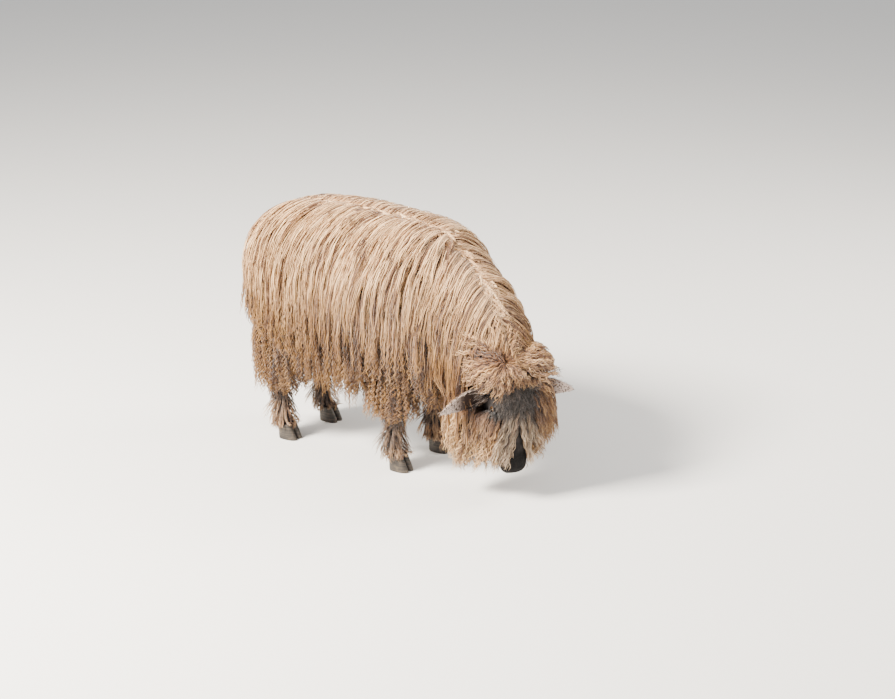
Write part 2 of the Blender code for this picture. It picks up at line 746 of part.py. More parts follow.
def mouth_path(tree, rise):
    """Places round the muzzle at the mouth's height, moved up the face by rise, and the skin's directions."""
    along, left, out = head_axes()
    path, normals = [], []
    for k in range(11):
        turn = math.radians(112) * (k / 5 - 1)
        lift = MOUTH[2] + rise + 0.007 * abs(k / 5 - 1) ** 2
        start = on_head(MOUTH[0], 0, lift)
        place, normal, _, _ = tree.ray_cast(start, along * math.cos(turn) + left * math.sin(turn))
        path.append(place)
        normals.append(normal)
    return path, normals


def finish_head(head, hair, glass):
    """Eyes, lids, ears, lips, mouth and nostrils."""
    along, left, out = head_axes()
    skull = loft("skull", head_rings())
    tree = tree_of([skull])
    bpy.data.objects.remove(skull)
    spaces, raised, hollows = [], [], []
    for side, word in ((1, "left"), (-1, "right")):
        centre = on_head(EYE[0], side * EYE[1], EYE[2])
        gaze = (left * side + out * 0.25 + along * 0.1).normalized()
        finish(ball("eye", centre, EYE_RADIUS, 12, axes=(along, out, left * side)), f"eye_{word}", glass)
        hollows.append(ball("socket", centre, EYE_RADIUS + GAP, 12, axes=(along, out, left * side)))
        spaces.append(eye_window("window", side))
        finish(ear("ear", side), f"ear_{word}", hair)
        spaces.append(ear_plug("socket", side, GAP))
        raised.append(lids("lids", centre, gaze, along))
        nostril = on_head(NOSTRIL[0], side * NOSTRIL[1], NOSTRIL[2])
        slant = (out - left * side * 0.6).normalized()
        axes = (along, slant.cross(along).normalized(), slant)
        hollows.append(ball("nostril", nostril, 0.01, 8, (0.9, 0.32, 0.75), axes))
    for rise in (0.0045, -0.0045):
        path, normals = mouth_path(tree, rise)
        raised.append(strip("lip", path, normals, 0.0042, 0.0034, out))
    path, normals = mouth_path(tree, 0.0)
    hollows.append(strip("mouth", path, normals, 0.0013, 0.0050, out))
    boolean(head, spaces, "DIFFERENCE")
    boolean(head, raised, "UNION")
    boolean(head, hollows, "DIFFERENCE")


def lids(name, centre, gaze, along):
    """A soft rim round the eye, longer than it is high."""
    across = (along - gaze * along.dot(gaze)).normalized()
    up = gaze.cross(across)
    points, faces, around, thick = [], [], 14, 5
    for k in range(around):
        turn = 2 * math.pi * k / around
        radial = across * math.cos(turn) + up * math.sin(turn)
        middle = centre + gaze * 0.0072 + across * math.cos(turn) * 0.0120 + up * math.sin(turn) * 0.0088
        for j in range(thick):
            spin = 2 * math.pi * j / thick
            points.append(middle + (radial * math.cos(spin) + gaze * math.sin(spin)) * 0.0034)
    for k in range(around):
        for j in range(thick):
            a, b = k * thick, (k + 1) % around * thick
            i = (j + 1) % thick
            faces += [(a + j, a + i, b + i), (a + j, b + i, b + j)]
    return add_body(name, points, faces)


def main():
    clear_scene()
    rng = random.Random(12)
    fleece = material("fleece", (0.62, 0.52, 0.38), 0.95)
    hair = material("hair", (0.10, 0.075, 0.06), 0.8)
    horn = material("horn", (0.05, 0.045, 0.04), 0.5)
    glass = material("eye", (0.05, 0.03, 0.015), 0.1)

    cores = [loft("trunk", trunk_rings(CORE_SHARE)), loft("throat", neck_rings(CORE_SHARE))]
    cores.append(loft("skull", head_rings()))
    cores += cushions()
    tree = tree_of(cores)
    body = join_all("body", cores + trunk_locks(tree, rng) + neck_locks(tree, rng) + head_locks(tree, rng))
    lightened(keep_largest(body), LIGHTEN)
    torso, neck, head = copied(body, "torso"), copied(body, "neck"), body
    place, direction = SHOULDER_CUT
    poll = OCCIPUT - heading() * POLL_BACK
    boolean(torso, [half_space(place - direction * GAP / 2, direction)], "DIFFERENCE")
    boolean(neck, [half_space(place + direction * GAP / 2, -direction),
                   half_space(poll - heading() * GAP / 2, heading())], "DIFFERENCE")
    boolean(head, [half_space(poll + heading() * GAP / 2, -heading())], "DIFFERENCE")

    cutters = []
    for front in (True, False):
        for side, word in ((1, "left"), (-1, "right")):
            where = "front" if front else "hind"
            shank = leg("leg", side, front)
            locks = leg_locks(tree_of([shank]), side, front, rng)
            shank = join_all("leg", [shank] + locks)
            boolean(shank, [half_space(UP * FOOT, -UP)], "DIFFERENCE")
            finish(keep_largest(shank), f"leg_{where}_{word}", hair)
            cutters += [leg("socket", side, front, GAP), leg_room("room", side, front)]
            for inner in (True, False):
                made = claw("claw", FRONT_X if front else HIND_X, side, inner)
                finish(made, f"claw_{where}_{word}_{'inner' if inner else 'outer'}", horn)
    dock = tail("tail")
    locks = tail_locks(tree_of([dock]), rng)
    finish(join_all("tail", [dock] + locks), "tail", fleece)
    boolean(torso, cutters + [tail("socket", GAP), tail_room("room")], "DIFFERENCE")

    finish_head(head, hair, glass)

    for obj, name in ((torso, "torso"), (neck, "neck"), (head, "head")):
        keep_largest(obj)
        finish(obj, name, fleece)
    centre_on_floor()


def centre_on_floor():
    """Moves every body so that the middle of the whole, on the floor, is the frame's origin."""
    low, high = Vector((9, 9, 9)), Vector((-9, -9, -9))
    for obj in bpy.data.objects:
        for v in obj.data.vertices:
            for k in range(3):
                low[k], high[k] = min(low[k], v.co[k]), max(high[k], v.co[k])
    shift = Vector(((low.x + high.x) / 2, (low.y + high.y) / 2, low.z))
    for obj in bpy.data.objects:
        for v in obj.data.vertices:
            v.co -= shift


main()
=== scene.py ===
"""A grazing, long-woolled lamb: one skin, locks of crimped strands, eyes, hooves, floor and light.

Shapes are worked out on the lamb's own plan, with the solids' named sizes, and move to the frame as each
mesh is made. Metres, +Z up, +X the way the body faces, +Y to the lamb's left.
"""

import math

import bmesh
import bpy
import numpy as np
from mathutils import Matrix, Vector, noise
from mathutils.bvhtree import BVHTree


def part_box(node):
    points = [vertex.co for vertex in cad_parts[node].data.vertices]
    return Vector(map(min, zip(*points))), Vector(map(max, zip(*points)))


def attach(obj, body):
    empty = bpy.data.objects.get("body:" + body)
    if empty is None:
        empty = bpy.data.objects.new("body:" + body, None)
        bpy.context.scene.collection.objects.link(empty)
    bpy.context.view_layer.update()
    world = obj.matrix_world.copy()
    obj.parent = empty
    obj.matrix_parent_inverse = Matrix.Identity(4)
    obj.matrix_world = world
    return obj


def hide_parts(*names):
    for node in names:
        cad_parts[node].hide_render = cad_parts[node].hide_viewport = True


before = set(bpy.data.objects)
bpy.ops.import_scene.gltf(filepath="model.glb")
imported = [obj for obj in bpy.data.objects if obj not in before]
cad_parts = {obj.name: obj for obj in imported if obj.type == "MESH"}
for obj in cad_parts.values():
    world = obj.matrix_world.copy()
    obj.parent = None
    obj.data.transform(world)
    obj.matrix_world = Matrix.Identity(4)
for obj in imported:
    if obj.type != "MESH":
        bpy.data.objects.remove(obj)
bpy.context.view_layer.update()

UP, FORWARD, LEFT = Vector((0, 0, 1)), Vector((1, 0, 0)), Vector((0, 1, 0))
# One seed for all that is random, so that every run gives the same wool
RNG = np.random.default_rng(7)
noise.seed_set(7)

# How far the wool stands out from the skin, and the share of that which its dense inner part takes
COAT_TOP, COAT_SIDE, COAT_END, COAT_BELLY, COAT_THROAT = 0.045, 0.060, 0.055, 0.075, 0.030
INNER_SHARE, FULL_SHARE = 0.42, 0.62
# At places along X: wool rooted lower than this is curled, and the wool above it ends about this high
CURLS_BELOW = ((-0.30, 0.470), (-0.10, 0.445), (0.26, 0.430), (0.36, 0.250))
SMOOTH_ENDS = ((-0.32, 0.400), (-0.18, 0.370), (-0.02, 0.325), (0.26, 0.325), (0.30, 0.250))
# How far to each side of the parting the locks are set closer
PARTING = 0.024
# How far apart locks grow on body and head, how deep they root, and how their lengths and widths vary
BODY_GAP, HEAD_GAP, ROOT_DEPTH = 0.0136, 0.0081, 0.002
LENGTHS_VARY, WIDTHS_VARY = (0.80, 1.10), (0.7, 1.3)
# A strand's width along it, from root to tip
STRAND_TAPER = ((0, 0.12, 0.5, 0.8, 1.0), (0.75, 1.0, 1.0, 0.72, 0.2))
# The most faces of a piece, and how wide a strand's own patch is on the map of the skin
MOST_FACES, BAKE_PATCH = 190000, 0.003
# Eggs that the wool over the tops of the legs lies on: place along X, height, and half sizes
HAUNCHES = ((-0.216, 0.272, (0.078, 0.062, 0.120)), (0.150, 0.250, (0.062, 0.058, 0.096)))
# Rolls of wool across the crest, where the lowered neck folds the fleece, and their half sizes
ROLLS = ((0.334, -0.002, 0.528), (0.374, -0.006, 0.500), (0.410, -0.010, 0.462), (0.440, -0.016, 0.424))
ROLL_SIZE = (0.019, 0.046, 0.022)
# The hem of the wool: place along X, height
HEM = ((-0.30, 0.140), (-0.24, 0.130), (-0.12, 0.165), (-0.03, 0.160), (0.06, 0.145), (0.15, 0.135),
       (0.28, 0.140))
# Trunk skin from rump to brisket: place along X, top, bottom and half width
TRUNK = (
    (-0.290, 0.505, 0.405, 0.046),
    (-0.268, 0.556, 0.360, 0.086),
    (-0.224, 0.588, 0.320, 0.120),
    (-0.155, 0.606, 0.298, 0.142),
    (-0.065, 0.612, 0.284, 0.156),
    (0.030, 0.608, 0.276, 0.158),
    (0.115, 0.604, 0.272, 0.150),
    (0.180, 0.596, 0.275, 0.136),
    (0.235, 0.572, 0.290, 0.114),
    (0.275, 0.512, 0.325, 0.078),
)
# Neck skin along its own line: centre, half width, reach towards the crest and towards the throat
NECK = (
    ((0.110, 0.000, 0.480), 0.100, 0.104, 0.115),
    ((0.200, 0.000, 0.468), 0.098, 0.108, 0.120),
    ((0.285, -0.010, 0.432), 0.086, 0.102, 0.105),
    ((0.360, -0.026, 0.386), 0.072, 0.086, 0.088),
    ((0.420, -0.044, 0.332), 0.062, 0.066, 0.074),
    ((0.462, -0.054, 0.284), 0.054, 0.054, 0.060),
)
# The head hangs from its occiput, turned to the right of the body, its face this steep
OCCIPUT = Vector((0.486, -0.056, 0.308))
HEAD_TURN = math.radians(-25)
FACE_PITCH = math.radians(77)
# Head skin from occiput to muzzle: along, middle's height over the axis, half width, above and below
HEAD = (
    (-0.026, -0.034, 0.034, 0.026, 0.028),
    (0.008, -0.032, 0.052, 0.040, 0.044),
    (0.045, -0.031, 0.059, 0.047, 0.060),
    (0.083, -0.032, 0.056, 0.043, 0.063),
    (0.116, -0.033, 0.046, 0.036, 0.054),
    (0.149, -0.035, 0.037, 0.031, 0.043),
    (0.180, -0.036, 0.033, 0.028, 0.034),
    (0.206, -0.037, 0.034, 0.026, 0.031),
    (0.226, -0.038, 0.029, 0.021, 0.025),
    (0.236, -0.039, 0.018, 0.012, 0.014),
)
EYE, EYE_RADIUS, EYE_CLEARANCE = (0.070, 0.0455, -0.016), 0.0130, 0.0002
# Half the length and height of the gap between the lids
ALMOND = (0.0112, 0.0078)
MOUTH, NOSTRIL = (0.196, 0.0, -0.052), (0.229, 0.0135, -0.030)
MOUTH_SWEEP, LIP_RISE = math.radians(112), 0.0042
EAR_ROOT, EAR_LENGTH, EAR_WIDTH, EAR_LEAF = (0.030, 0.044, -0.030), 0.148, 0.050, 0.0036
EAR_DROOP, EAR_FORWARD, EAR_SAG = 0.14, 0.05, 0.012
# The whorl that the topknot grows from
WHORL = (-0.043, -0.039, 0.046)
# Where the wool beside the whorl is painted a darker reddish brown, painted shade where it lies in shadow:
# places on the plan
WHORL_SHADE_SPOTS = ((0.482, -0.116, 0.374), (0.462, -0.122, 0.374), (0.440, -0.128, 0.372))
# How far along the face the topknot's fringe hangs
FRINGE = 0.023
# Wool by kind on the head: least and greatest length, how far its tips stand off, its weight, and its crimp
# and the crimp's wavelength
HEAD_WOOL = {
    "topknot": ((0.070, 0.105), 0.007, 0.05, 0.0030, 0.019),
    "fringe": ((0.070, 0.105), 0.007, 0.05, 0.0030, 0.019),
    "lid": ((0.012, 0.020), 0.003, 0.02, 0.0006, 0.030),
    "face": ((0.030, 0.045), 0.004, 0.02, 0.0010, 0.030),
    "nose": ((0.070, 0.115), 0.014, 0.04, 0.0036, 0.034),
    "cheek": ((0.060, 0.095), 0.010, 0.12, 0.0022, 0.024),
    "near_cheek": ((0.045, 0.075), 0.010, 0.12, 0.0022, 0.024),
    "brow": ((0.035, 0.035), 0.010, 0.12, 0.0022, 0.024),
    "ruff": ((0.090, 0.120), 0.010, 0.20, 0.0042, 0.019),
}
# Kinds that are drawn with another one
WITH = {"lid": "face", "near_cheek": "cheek", "brow": "cheek"}
# Eggs that the head's wool lies over: where on the head, and their half sizes along, across and out of the
# face. The topknot stands high over the left ear and falls flat over the right.
PUFFS = (
    ((-0.026, 0.048, 0.008), (0.040, 0.044, 0.044)),
    ((0.004, -0.034, 0.004), (0.034, 0.046, 0.040)),
    ((0.080, 0.062, -0.042), (0.080, 0.052, 0.050)),
    ((0.084, -0.046, -0.044), (0.078, 0.044, 0.046)),
    ((0.060, 0.0, -0.100), (0.080, 0.060, 0.040)),
    ((0.078, -0.080, -0.088), (0.076, 0.042, 0.048)),
)
# Legs: hooves' places, and from sole to body the height, shift back, half width and half depth
STANCE, FRONT_X, HIND_X = 0.083, 0.165, -0.210
FRONT_LEG = (
    (0.0360, -0.010, 0.0200, 0.0215),
    (0.0560, -0.020, 0.0175, 0.0190),
    (0.0800, -0.026, 0.0205, 0.0240),
    (0.1000, -0.022, 0.0165, 0.0185),
    (0.1400, -0.018, 0.0160, 0.0175),
    (0.1800, -0.015, 0.0205, 0.0225),
    (0.2050, -0.016, 0.0220, 0.0235),
    (0.2400, -0.022, 0.0270, 0.0320),
    (0.2950, -0.030, 0.0330, 0.0420),
)
HIND_LEG = (
    (0.0360, -0.010, 0.0195, 0.0215),
    (0.0560, -0.021, 0.0170, 0.0190),
    (0.0800, -0.028, 0.0200, 0.0240),
    (0.1000, -0.026, 0.0160, 0.0190),
    (0.1400, -0.032, 0.0155, 0.0190),
    (0.1800, -0.040, 0.0175, 0.0225),
    (0.2150, -0.046, 0.0205, 0.0290),
    (0.2500, -0.036, 0.0250, 0.0350),
    (0.3050, -0.010, 0.0340, 0.0480),
)
FOOT, CLAW_APART = 0.041, 0.0125
CLAW = (
    (0.0000, 0.0108, 0.0300, -0.0230),
    (0.0060, 0.0112, 0.0295, -0.0240),
    (0.0240, 0.0105, 0.0200, -0.0250),
    (FOOT, 0.0090, 0.0100, -0.0260),
)
TAIL = (
    ((-0.255, 0.0, 0.535), 0.026, 0.022),
    ((-0.310, 0.0, 0.530), 0.036, 0.026),
    ((-0.352, 0.0, 0.490), 0.042, 0.028),
    ((-0.368, 0.0, 0.430), 0.042, 0.026),
    ((-0.368, 0.0, 0.370), 0.034, 0.022),
    ((-0.362, 0.0, 0.325), 0.014, 0.012),
)

# The plan's origin, seen from the frame's: from the claws, whose heels and sides it places
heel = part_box("claw_front_left_inner")[0].x
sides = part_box("claw_front_right_outer")[0].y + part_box("claw_front_left_outer")[1].y
SHIFT = Vector((FRONT_X + CLAW[-1][3] - heel, -sides / 2, 0))

# The camera, on the plan: direction, distance, lens and what it looks at
AZIMUTH, ELEVATION, DISTANCE, LENS = math.radians(36.9), math.radians(18.6), 4.5, 74.05
LOOK_AT = Vector((0.305, -0.073, 0.347))
# The floor's half width, and the lamps: place, size, power and tint, and what they face
FLOOR_HALF, LAMPS_FACE = 12.0, Vector((0, 0, 0.3))
LAMPS = (
    ("key", (-1.4, -3.0, 3.2), 1.3, 1320, (1.0, 0.93, 0.83)),
    ("rim", (1.8, 2.4, 2.6), 1.5, 160, (1.0, 0.93, 0.84)),
    ("fill", (3.6, -1.6, 1.6), 2.2, 40, (0.92, 0.96, 1.0)),
)


def heading():
    return Vector((math.cos(HEAD_TURN), math.sin(HEAD_TURN), 0))


def head_axes():
    """The head's own directions: along the face to the muzzle, to the lamb's left, out of the forehead."""
    along = heading() * math.cos(FACE_PITCH) - UP * math.sin(FACE_PITCH)
    left = UP.cross(heading())
    return along, left, along.cross(left)


def on_head(along, left, out):
    a, b, c = head_axes()
    return OCCIPUT + a * along + b * left + c * out


def between(p0, p1, p2, p3, t):
    """The place a share t of the way from p1 to p2, on a smooth curve through all four."""
    return p1 + t * (p2 - p0) / 2 + t * t * (p0 - 2.5 * p1 + 2 * p2 - p3 / 2) + t ** 3 * (
        (p3 - p0) / 2 + 1.5 * (p1 - p2))


def by_place(table, x):
    """The height that a table of places along X and heights gives at a place."""
    places, heights = zip(*table)
    return float(np.interp(x, places, heights))


def put(name, data):
    """A new object in the scene that holds this mesh, light or camera."""
    obj = bpy.data.objects.new(name, data)
    bpy.context.scene.collection.objects.link(obj)
    return obj


def read(items, key, width=3, kind=np.float32):
    """One value of every item of a mesh, as rows of this width."""
    values = np.empty(len(items) * width, kind)
    items.foreach_get(key, values)
    return values.reshape(-1, width)


def give(data, name, values):
    """A number for every point of a mesh, under a name that the finish reads."""
    data.attributes.new(name, "FLOAT", "POINT").data.foreach_set("value", np.asarray(values, np.float32))


def give_map(data, name, spots):
    """A flat map for a mesh: the spot of each corner of its faces."""
    layer = data.uv_layers.new(name=name, do_init=False)
    layer.data.foreach_set("uv", spots.astype(np.float32).ravel())


def some(middle, spread_by):
    """A random share about a middle."""
    return float(np.clip(RNG.normal(middle, spread_by), 0, 1))


def smooth_rows(rows, steps):
    """The rows and, between each two, steps - 1 more on a smooth curve through them all."""
    flat = [[n for item in row for n in (item if isinstance(item, tuple) else (item,))] for row in rows]
    last, made = len(flat) - 1, []
    for k in range(last):
        near = [flat[min(max(k + d, 0), last)] for d in (-1, 0, 1, 2)]
        made += [[between(*numbers, i / steps) for numbers in zip(*near)] for i in range(steps)]
    return made + [flat[last]]


def ring(centre, across, up, half_width, above, below, sides=24, squareness=2.0):
    points = []
    for k in range(sides):
        angle = 2 * math.pi * (k + 0.5) / sides
        c, s = math.cos(angle), math.sin(angle)
        reach = above if s > 0 else below
        x = half_width * math.copysign(abs(c) ** (2 / squareness), c)
        y = reach * math.copysign(abs(s) ** (2 / squareness), s)
        points.append(centre + across * x + up * y)
    return points


def add_body(name, points, faces):
    """A closed body on the plan, its faces turned outwards."""
    data = bpy.data.meshes.new(name)
    data.from_pydata([tuple(p) for p in points], [], faces)
    mesh = bmesh.new()
    mesh.from_mesh(data)
    bmesh.ops.recalc_face_normals(mesh, faces=mesh.faces)
    if mesh.calc_volume(signed=True) < 0:
        bmesh.ops.reverse_faces(mesh, faces=mesh.faces)
    mesh.to_mesh(data)
    mesh.free()
    return put(name, data)


def loft(name, rings):
    count = len(rings[0])
    points = [p for row in rings for p in row]
    last = (len(rings) - 1) * count
    faces = [tuple(range(count)), tuple(last + k for k in range(count))]
    for r in range(len(rings) - 1):
        for k in range(count):
            j = (k + 1) % count
            a, b = r * count, (r + 1) * count
            faces += [(a + k, a + j, b + j), (a + k, b + j, b + k)]
    return add_body(name, points, faces)


def ball(name, centre, radius, across=24, stretch=(1, 1, 1), axes=None):
    """A ball, or an egg of it, with its poles along the third of its axes."""
    ax, ay, az = axes or (FORWARD, LEFT, UP)
    rows = across // 2
    rings = []
    for r in range(rows + 1):
        turn = math.pi * min(max(r / rows, 0.004), 0.996)
        lift, wide = -math.cos(turn), math.sin(turn)
        rings.append([
            centre + (ax * wide * math.cos(2 * math.pi * k / across) * stretch[0]
                      + ay * wide * math.sin(2 * math.pi * k / across) * stretch[1]
                      + az * lift * stretch[2]) * radius
            for k in range(across)
        ])
    return loft(name, rings)


def replace_mesh(obj, data):
    old = obj.data
    obj.modifiers.clear()
    obj.data = data
    bpy.data.meshes.remove(old)
    return obj


def applied(obj):
    """The object with its modifiers worked into its mesh."""
    bpy.context.view_layer.update()
    graph = bpy.context.evaluated_depsgraph_get()
    return replace_mesh(obj, bpy.data.meshes.new_from_object(obj.evaluated_get(graph)))


def fused(name, objs, voxel, rounds=0):
    """The bodies as one mesh, their joins blended over about a voxel and the whole smoothed."""
    joined = bmesh.new()
    for obj in objs:
        joined.from_mesh(obj.data)
        bpy.data.objects.remove(obj)
    data = bpy.data.meshes.new(name)
    joined.to_mesh(data)
    joined.free()
    made = put(name, data)
    remesh = made.modifiers.new("remesh", "REMESH")
    remesh.mode, remesh.voxel_size, remesh.use_smooth_shade = "VOXEL", voxel, True
    if rounds:
        soften = made.modifiers.new("soften", "SMOOTH")
        soften.factor, soften.iterations = 0.5, rounds
    return applied(made)


def boolean(obj, others, operation):
    """The body with the others joined to it or cut out of it."""
    group = bpy.data.collections.new("operands")
    bpy.context.scene.collection.children.link(group)
    for other in others:
        bpy.context.scene.collection.objects.unlink(other)
        group.objects.link(other)
    step = obj.modifiers.new("boolean", "BOOLEAN")
    step.operation, step.operand_type = operation, "COLLECTION"
    step.collection, step.solver = group, "MANIFOLD"
    applied(obj)
    for other in others:
        bpy.data.objects.remove(other)
    bpy.data.collections.remove(group)
    return obj


def trunk_rings(grow, sides=24):
    """Rings round the trunk, from the skin out to the share grow of the coat's depth."""
    rings = []
    first, last = TRUNK[0][0], TRUNK[-1][0]
    for x, top, bottom, half_width in smooth_rows(TRUNK, 3):
        place = x + grow * COAT_END * (2 * (x - first) / (last - first) - 1)
        middle = (top + bottom) / 2
        above, below = top - middle + grow * COAT_TOP, middle - bottom + grow * COAT_BELLY
        rings.append(ring(Vector((place, 0, middle)), LEFT, UP, half_width + grow * COAT_SIDE, above, below,
                          sides, 2 + 0.5 * grow))
    return rings


def neck_frame(share):
    """Centre, direction, across and up of the neck at a share of its length, with its sizes."""
    rows = smooth_rows(NECK, 4)
    at = min(int(share * (len(rows) - 1)), len(rows) - 2)
    t = share * (len(rows) - 1) - at
    row = [m + (n - m) * t for m, n in zip(rows[at], rows[at + 1])]
    low, high = max(at - 2, 0), min(at + 3, len(rows) - 1)
    ahead = (Vector(rows[high][:3]) - Vector(rows[low][:3])).normalized()
    across = UP.cross(ahead).normalized()
    return Vector(row[:3]), ahead, across, ahead.cross(across), row[3:]


def neck_rings(grow):
    rings = []
    for k in range(17):
        centre, _, across, up, (width, above, below) = neck_frame(k / 16)
        rings.append(ring(centre, across, up, width + grow * COAT_SIDE, above + grow * COAT_TOP,
                          below + grow * COAT_THROAT))
    return rings


def head_rings(sides=40, steps=4):
    _, left, out = head_axes()
    return [ring(on_head(place, 0, middle), left, out, half_width, above, below, sides, 2.15)
            for place, middle, half_width, above, below in smooth_rows(HEAD, steps)]


def leg_rings(side, front):
    rows, x = (FRONT_LEG, FRONT_X) if front else (HIND_LEG, HIND_X)
    return [ring(Vector((x + back, side * STANCE, height)), LEFT, FORWARD, half_width, half_depth, half_depth,
                 20)
            for height, back, half_width, half_depth in smooth_rows(rows, 3)]


def tail_rings(grow=0.0):
    """Rings round the tail's dock, which is slimmer than the wool that hangs from it."""
    rows = smooth_rows(TAIL, 3)
    centres = [Vector(row[:3]) for row in rows]
    rings = []
    for k, row in enumerate(rows):
        ahead = centres[min(k + 1, len(rows) - 1)] - centres[max(k - 1, 0)]
        half_width, half_depth = row[3] * 0.6 + grow, row[4] * 0.7 + grow
        up = ahead.cross(LEFT).normalized()
        rings.append(ring(centres[k], LEFT, up, half_width, half_depth, half_depth, 16))
    return rings


def ear_frame(side, s):
    """Place and directions at the share s of an ear's length: its line, across the leaf, out of the cup."""
    _, left, _ = head_axes()
    start = on_head(EAR_ROOT[0], side * EAR_ROOT[1], EAR_ROOT[2])
    line = (left * side - UP * EAR_DROOP + heading() * EAR_FORWARD).normalized()
    opening = (heading() - UP * 0.25 - line * heading().dot(line)).normalized()
    opening = (opening - line * opening.dot(line)).normalized()
    across = line.cross(opening).normalized()
    return start + line * EAR_LENGTH * s - UP * EAR_SAG * s * s, line, across, opening


EAR_ROWS = (
    (-0.12, 0.46, 150, 0.90), (0.00, 0.50, 150, 0.90), (0.14, 0.62, 140, 0.85), (0.28, 0.88, 112, 0.62),
    (0.45, 1.00, 92, 0.50), (0.62, 0.90, 80, 0.42), (0.78, 0.66, 72, 0.40), (0.90, 0.38, 66, 0.42),
    (0.97, 0.16, 60, 0.60),
)


def ear(side):
    """A leaf that is rolled to a tube at its root and opens into a cup towards its point."""
    rings, folds = [], 16
    for s, width, sweep, deep in smooth_rows(EAR_ROWS, 3):
        centre, _, across, opening = ear_frame(side, s)
        half = EAR_WIDTH * width / 2
        leaf = min(EAR_LEAF, half * 0.8)
        outer, inner = [], []
        for k in range(folds + 1):
            turn = math.radians(sweep * (2 * k / folds - 1))
            a, b = math.sin(turn), -math.cos(turn)
            outer.append(centre + across * half * a + opening * half * deep * b)
            inner.append(centre + across * (half - leaf) * a + opening * (half * deep - leaf) * b)
        rings.append(outer + inner[::-1])
    return loft("ear", rings)


def eye_frame(side):
    """An eye's centre, and its directions: along the lids, across them, and the way that it looks."""
    along, left, out = head_axes()
    gaze = (left * side + out * 0.25 + along * 0.1).normalized()
    across = (along - gaze * along.dot(gaze)).normalized()
    return on_head(EYE[0], side * EYE[1], EYE[2]), across, gaze.cross(across), gaze


def lid(side):
    """The rims of an eye's lids, an almond that is longer than it is high, the upper one fuller."""
    centre, across, up, gaze = eye_frame(side)
    around, thick, points, faces = 36, 10, [], []
    for k in range(around):
        turn = 2 * math.pi * k / around
        radial = across * math.cos(turn) + up * math.sin(turn)
        fuller = 0.0030 + 0.0010 * max(0.0, math.sin(turn) * side)
        bow = ALMOND[0] * math.cos(turn), ALMOND[1] * math.sin(turn)
        reach = math.sqrt(max(EYE_RADIUS ** 2 - bow[0] ** 2 - bow[1] ** 2, 0)) + EYE_CLEARANCE
        middle = centre + gaze * reach + across * bow[0] + up * bow[1]
        for j in range(thick):
            spin = 2 * math.pi * j / thick
            points.append(middle + (radial * math.cos(spin) + gaze * math.sin(spin)) * fuller)
    for k in range(around):
        for j in range(thick):
            a, b, i = k * thick, (k + 1) % around * thick, (j + 1) % thick
            faces += [(a + j, a + i, b + i), (a + j, b + i, b + j)]
    return add_body("lid", points, faces)


def strip(name, path, normals, half_width, half_depth, axis):
    """A slim roll along a path, thickest at its middle."""
    rings, last = [], len(path) - 1
    for k, (place, normal) in enumerate(zip(path, normals)):
        full = 0.35 + 0.65 * math.sin(math.pi * k / last)
        a, b = axis * half_width * full, normal * half_depth * full
        half = [a, (a + b) * 0.72, b, (b - a) * 0.72]
        rings.append([place + corner for corner in half] + [place - corner for corner in half])
    return loft(name, rings)


def mouth_path(tree, rise):
    """Places round the muzzle at the mouth's height, moved up the face by rise, and the skin's directions."""
    along, left, _ = head_axes()
    path, normals = [], []
    for k in range(33):
        share = k / 16 - 1
        turn = MOUTH_SWEEP * share
        start = on_head(MOUTH[0], 0, MOUTH[2] + rise + 0.007 * share ** 2)
        place, normal, _, _ = tree.ray_cast(start, along * math.cos(turn) + left * math.sin(turn))
        path.append(place)
        normals.append(normal)
    return path, normals


def tree_of(objs):
    mesh = bmesh.new()
    for obj in objs:
        mesh.from_mesh(obj.data)
    tree = BVHTree.FromBMesh(mesh)
    mesh.free()
    return tree


def head_cover():
    """The surface that the head's wool lies over: the skull, and the mass of topknot, cheeks and throat."""
    made = [loft("skull", head_rings(24, 2))]
    for place, (long, wide, deep) in PUFFS:
        made.append(ball("puff", on_head(*place), 1, 24, (long, wide, deep), head_axes()))
    return made


def wool_cover(share, voxel):
    """One body that wool lies over, this share of the coat's depth out from the skin."""
    made = [loft("trunk", trunk_rings(share)), loft("throat", neck_rings(share))]
    grown = share / FULL_SHARE
    for x, height, sizes in HAUNCHES:
        for side in (1, -1):
            made.append(ball("haunch", Vector((x, side * STANCE, height)), grown, 24, sizes))
    for place in ROLLS:
        centre = Vector(place)
        _, ahead, across, up, _ = min(CREST, key=lambda f: (f[0] - centre).length)
        made.append(ball("roll", centre, grown, 20, ROLL_SIZE, (ahead, across, up)))
    return fused("cover", made + head_cover(), voxel)


def make_skin():
    """One closed skin: trunk, neck, legs, tail, head and ears, with lids, lips, mouth and nostrils."""
    along, left, out = head_axes()
    skull = loft("skull", head_rings())
    tree = tree_of([skull])
    raised = [lid(side) for side in (1, -1)]
    for rise in (LIP_RISE, -LIP_RISE):
        path, normals = mouth_path(tree, rise)
        raised.append(strip("lip", path, normals, 0.0040, 0.0030, out))
    head = fused("head_skin", [skull, ear(1), ear(-1)] + raised, 0.0017, 3)
    hollows = []
    for side in (1, -1):
        hollows.append(ball("socket", eye_frame(side)[0], EYE_RADIUS + EYE_CLEARANCE, 40))
        nostril = on_head(NOSTRIL[0], side * NOSTRIL[1], NOSTRIL[2])
        slant = (out - left * side * 0.6).normalized()
        hollows.append(ball("nostril", nostril, 0.01, 20, (0.9, 0.32, 0.75),
                            (along, slant.cross(along).normalized(), slant)))
    path, normals = mouth_path(tree, 0.0)
    hollows.append(strip("mouth", path, normals, 0.0010, 0.0045, out))
    boolean(head, hollows, "DIFFERENCE")
    legs = [loft("leg", leg_rings(side, front)) for side in (1, -1) for front in (True, False)]
    body = [loft("trunk", trunk_rings(0)), loft("throat", neck_rings(0)), loft("dock", tail_rings())]
    return boolean(fused("skin", body + legs, 0.005, 6), [head], "UNION")


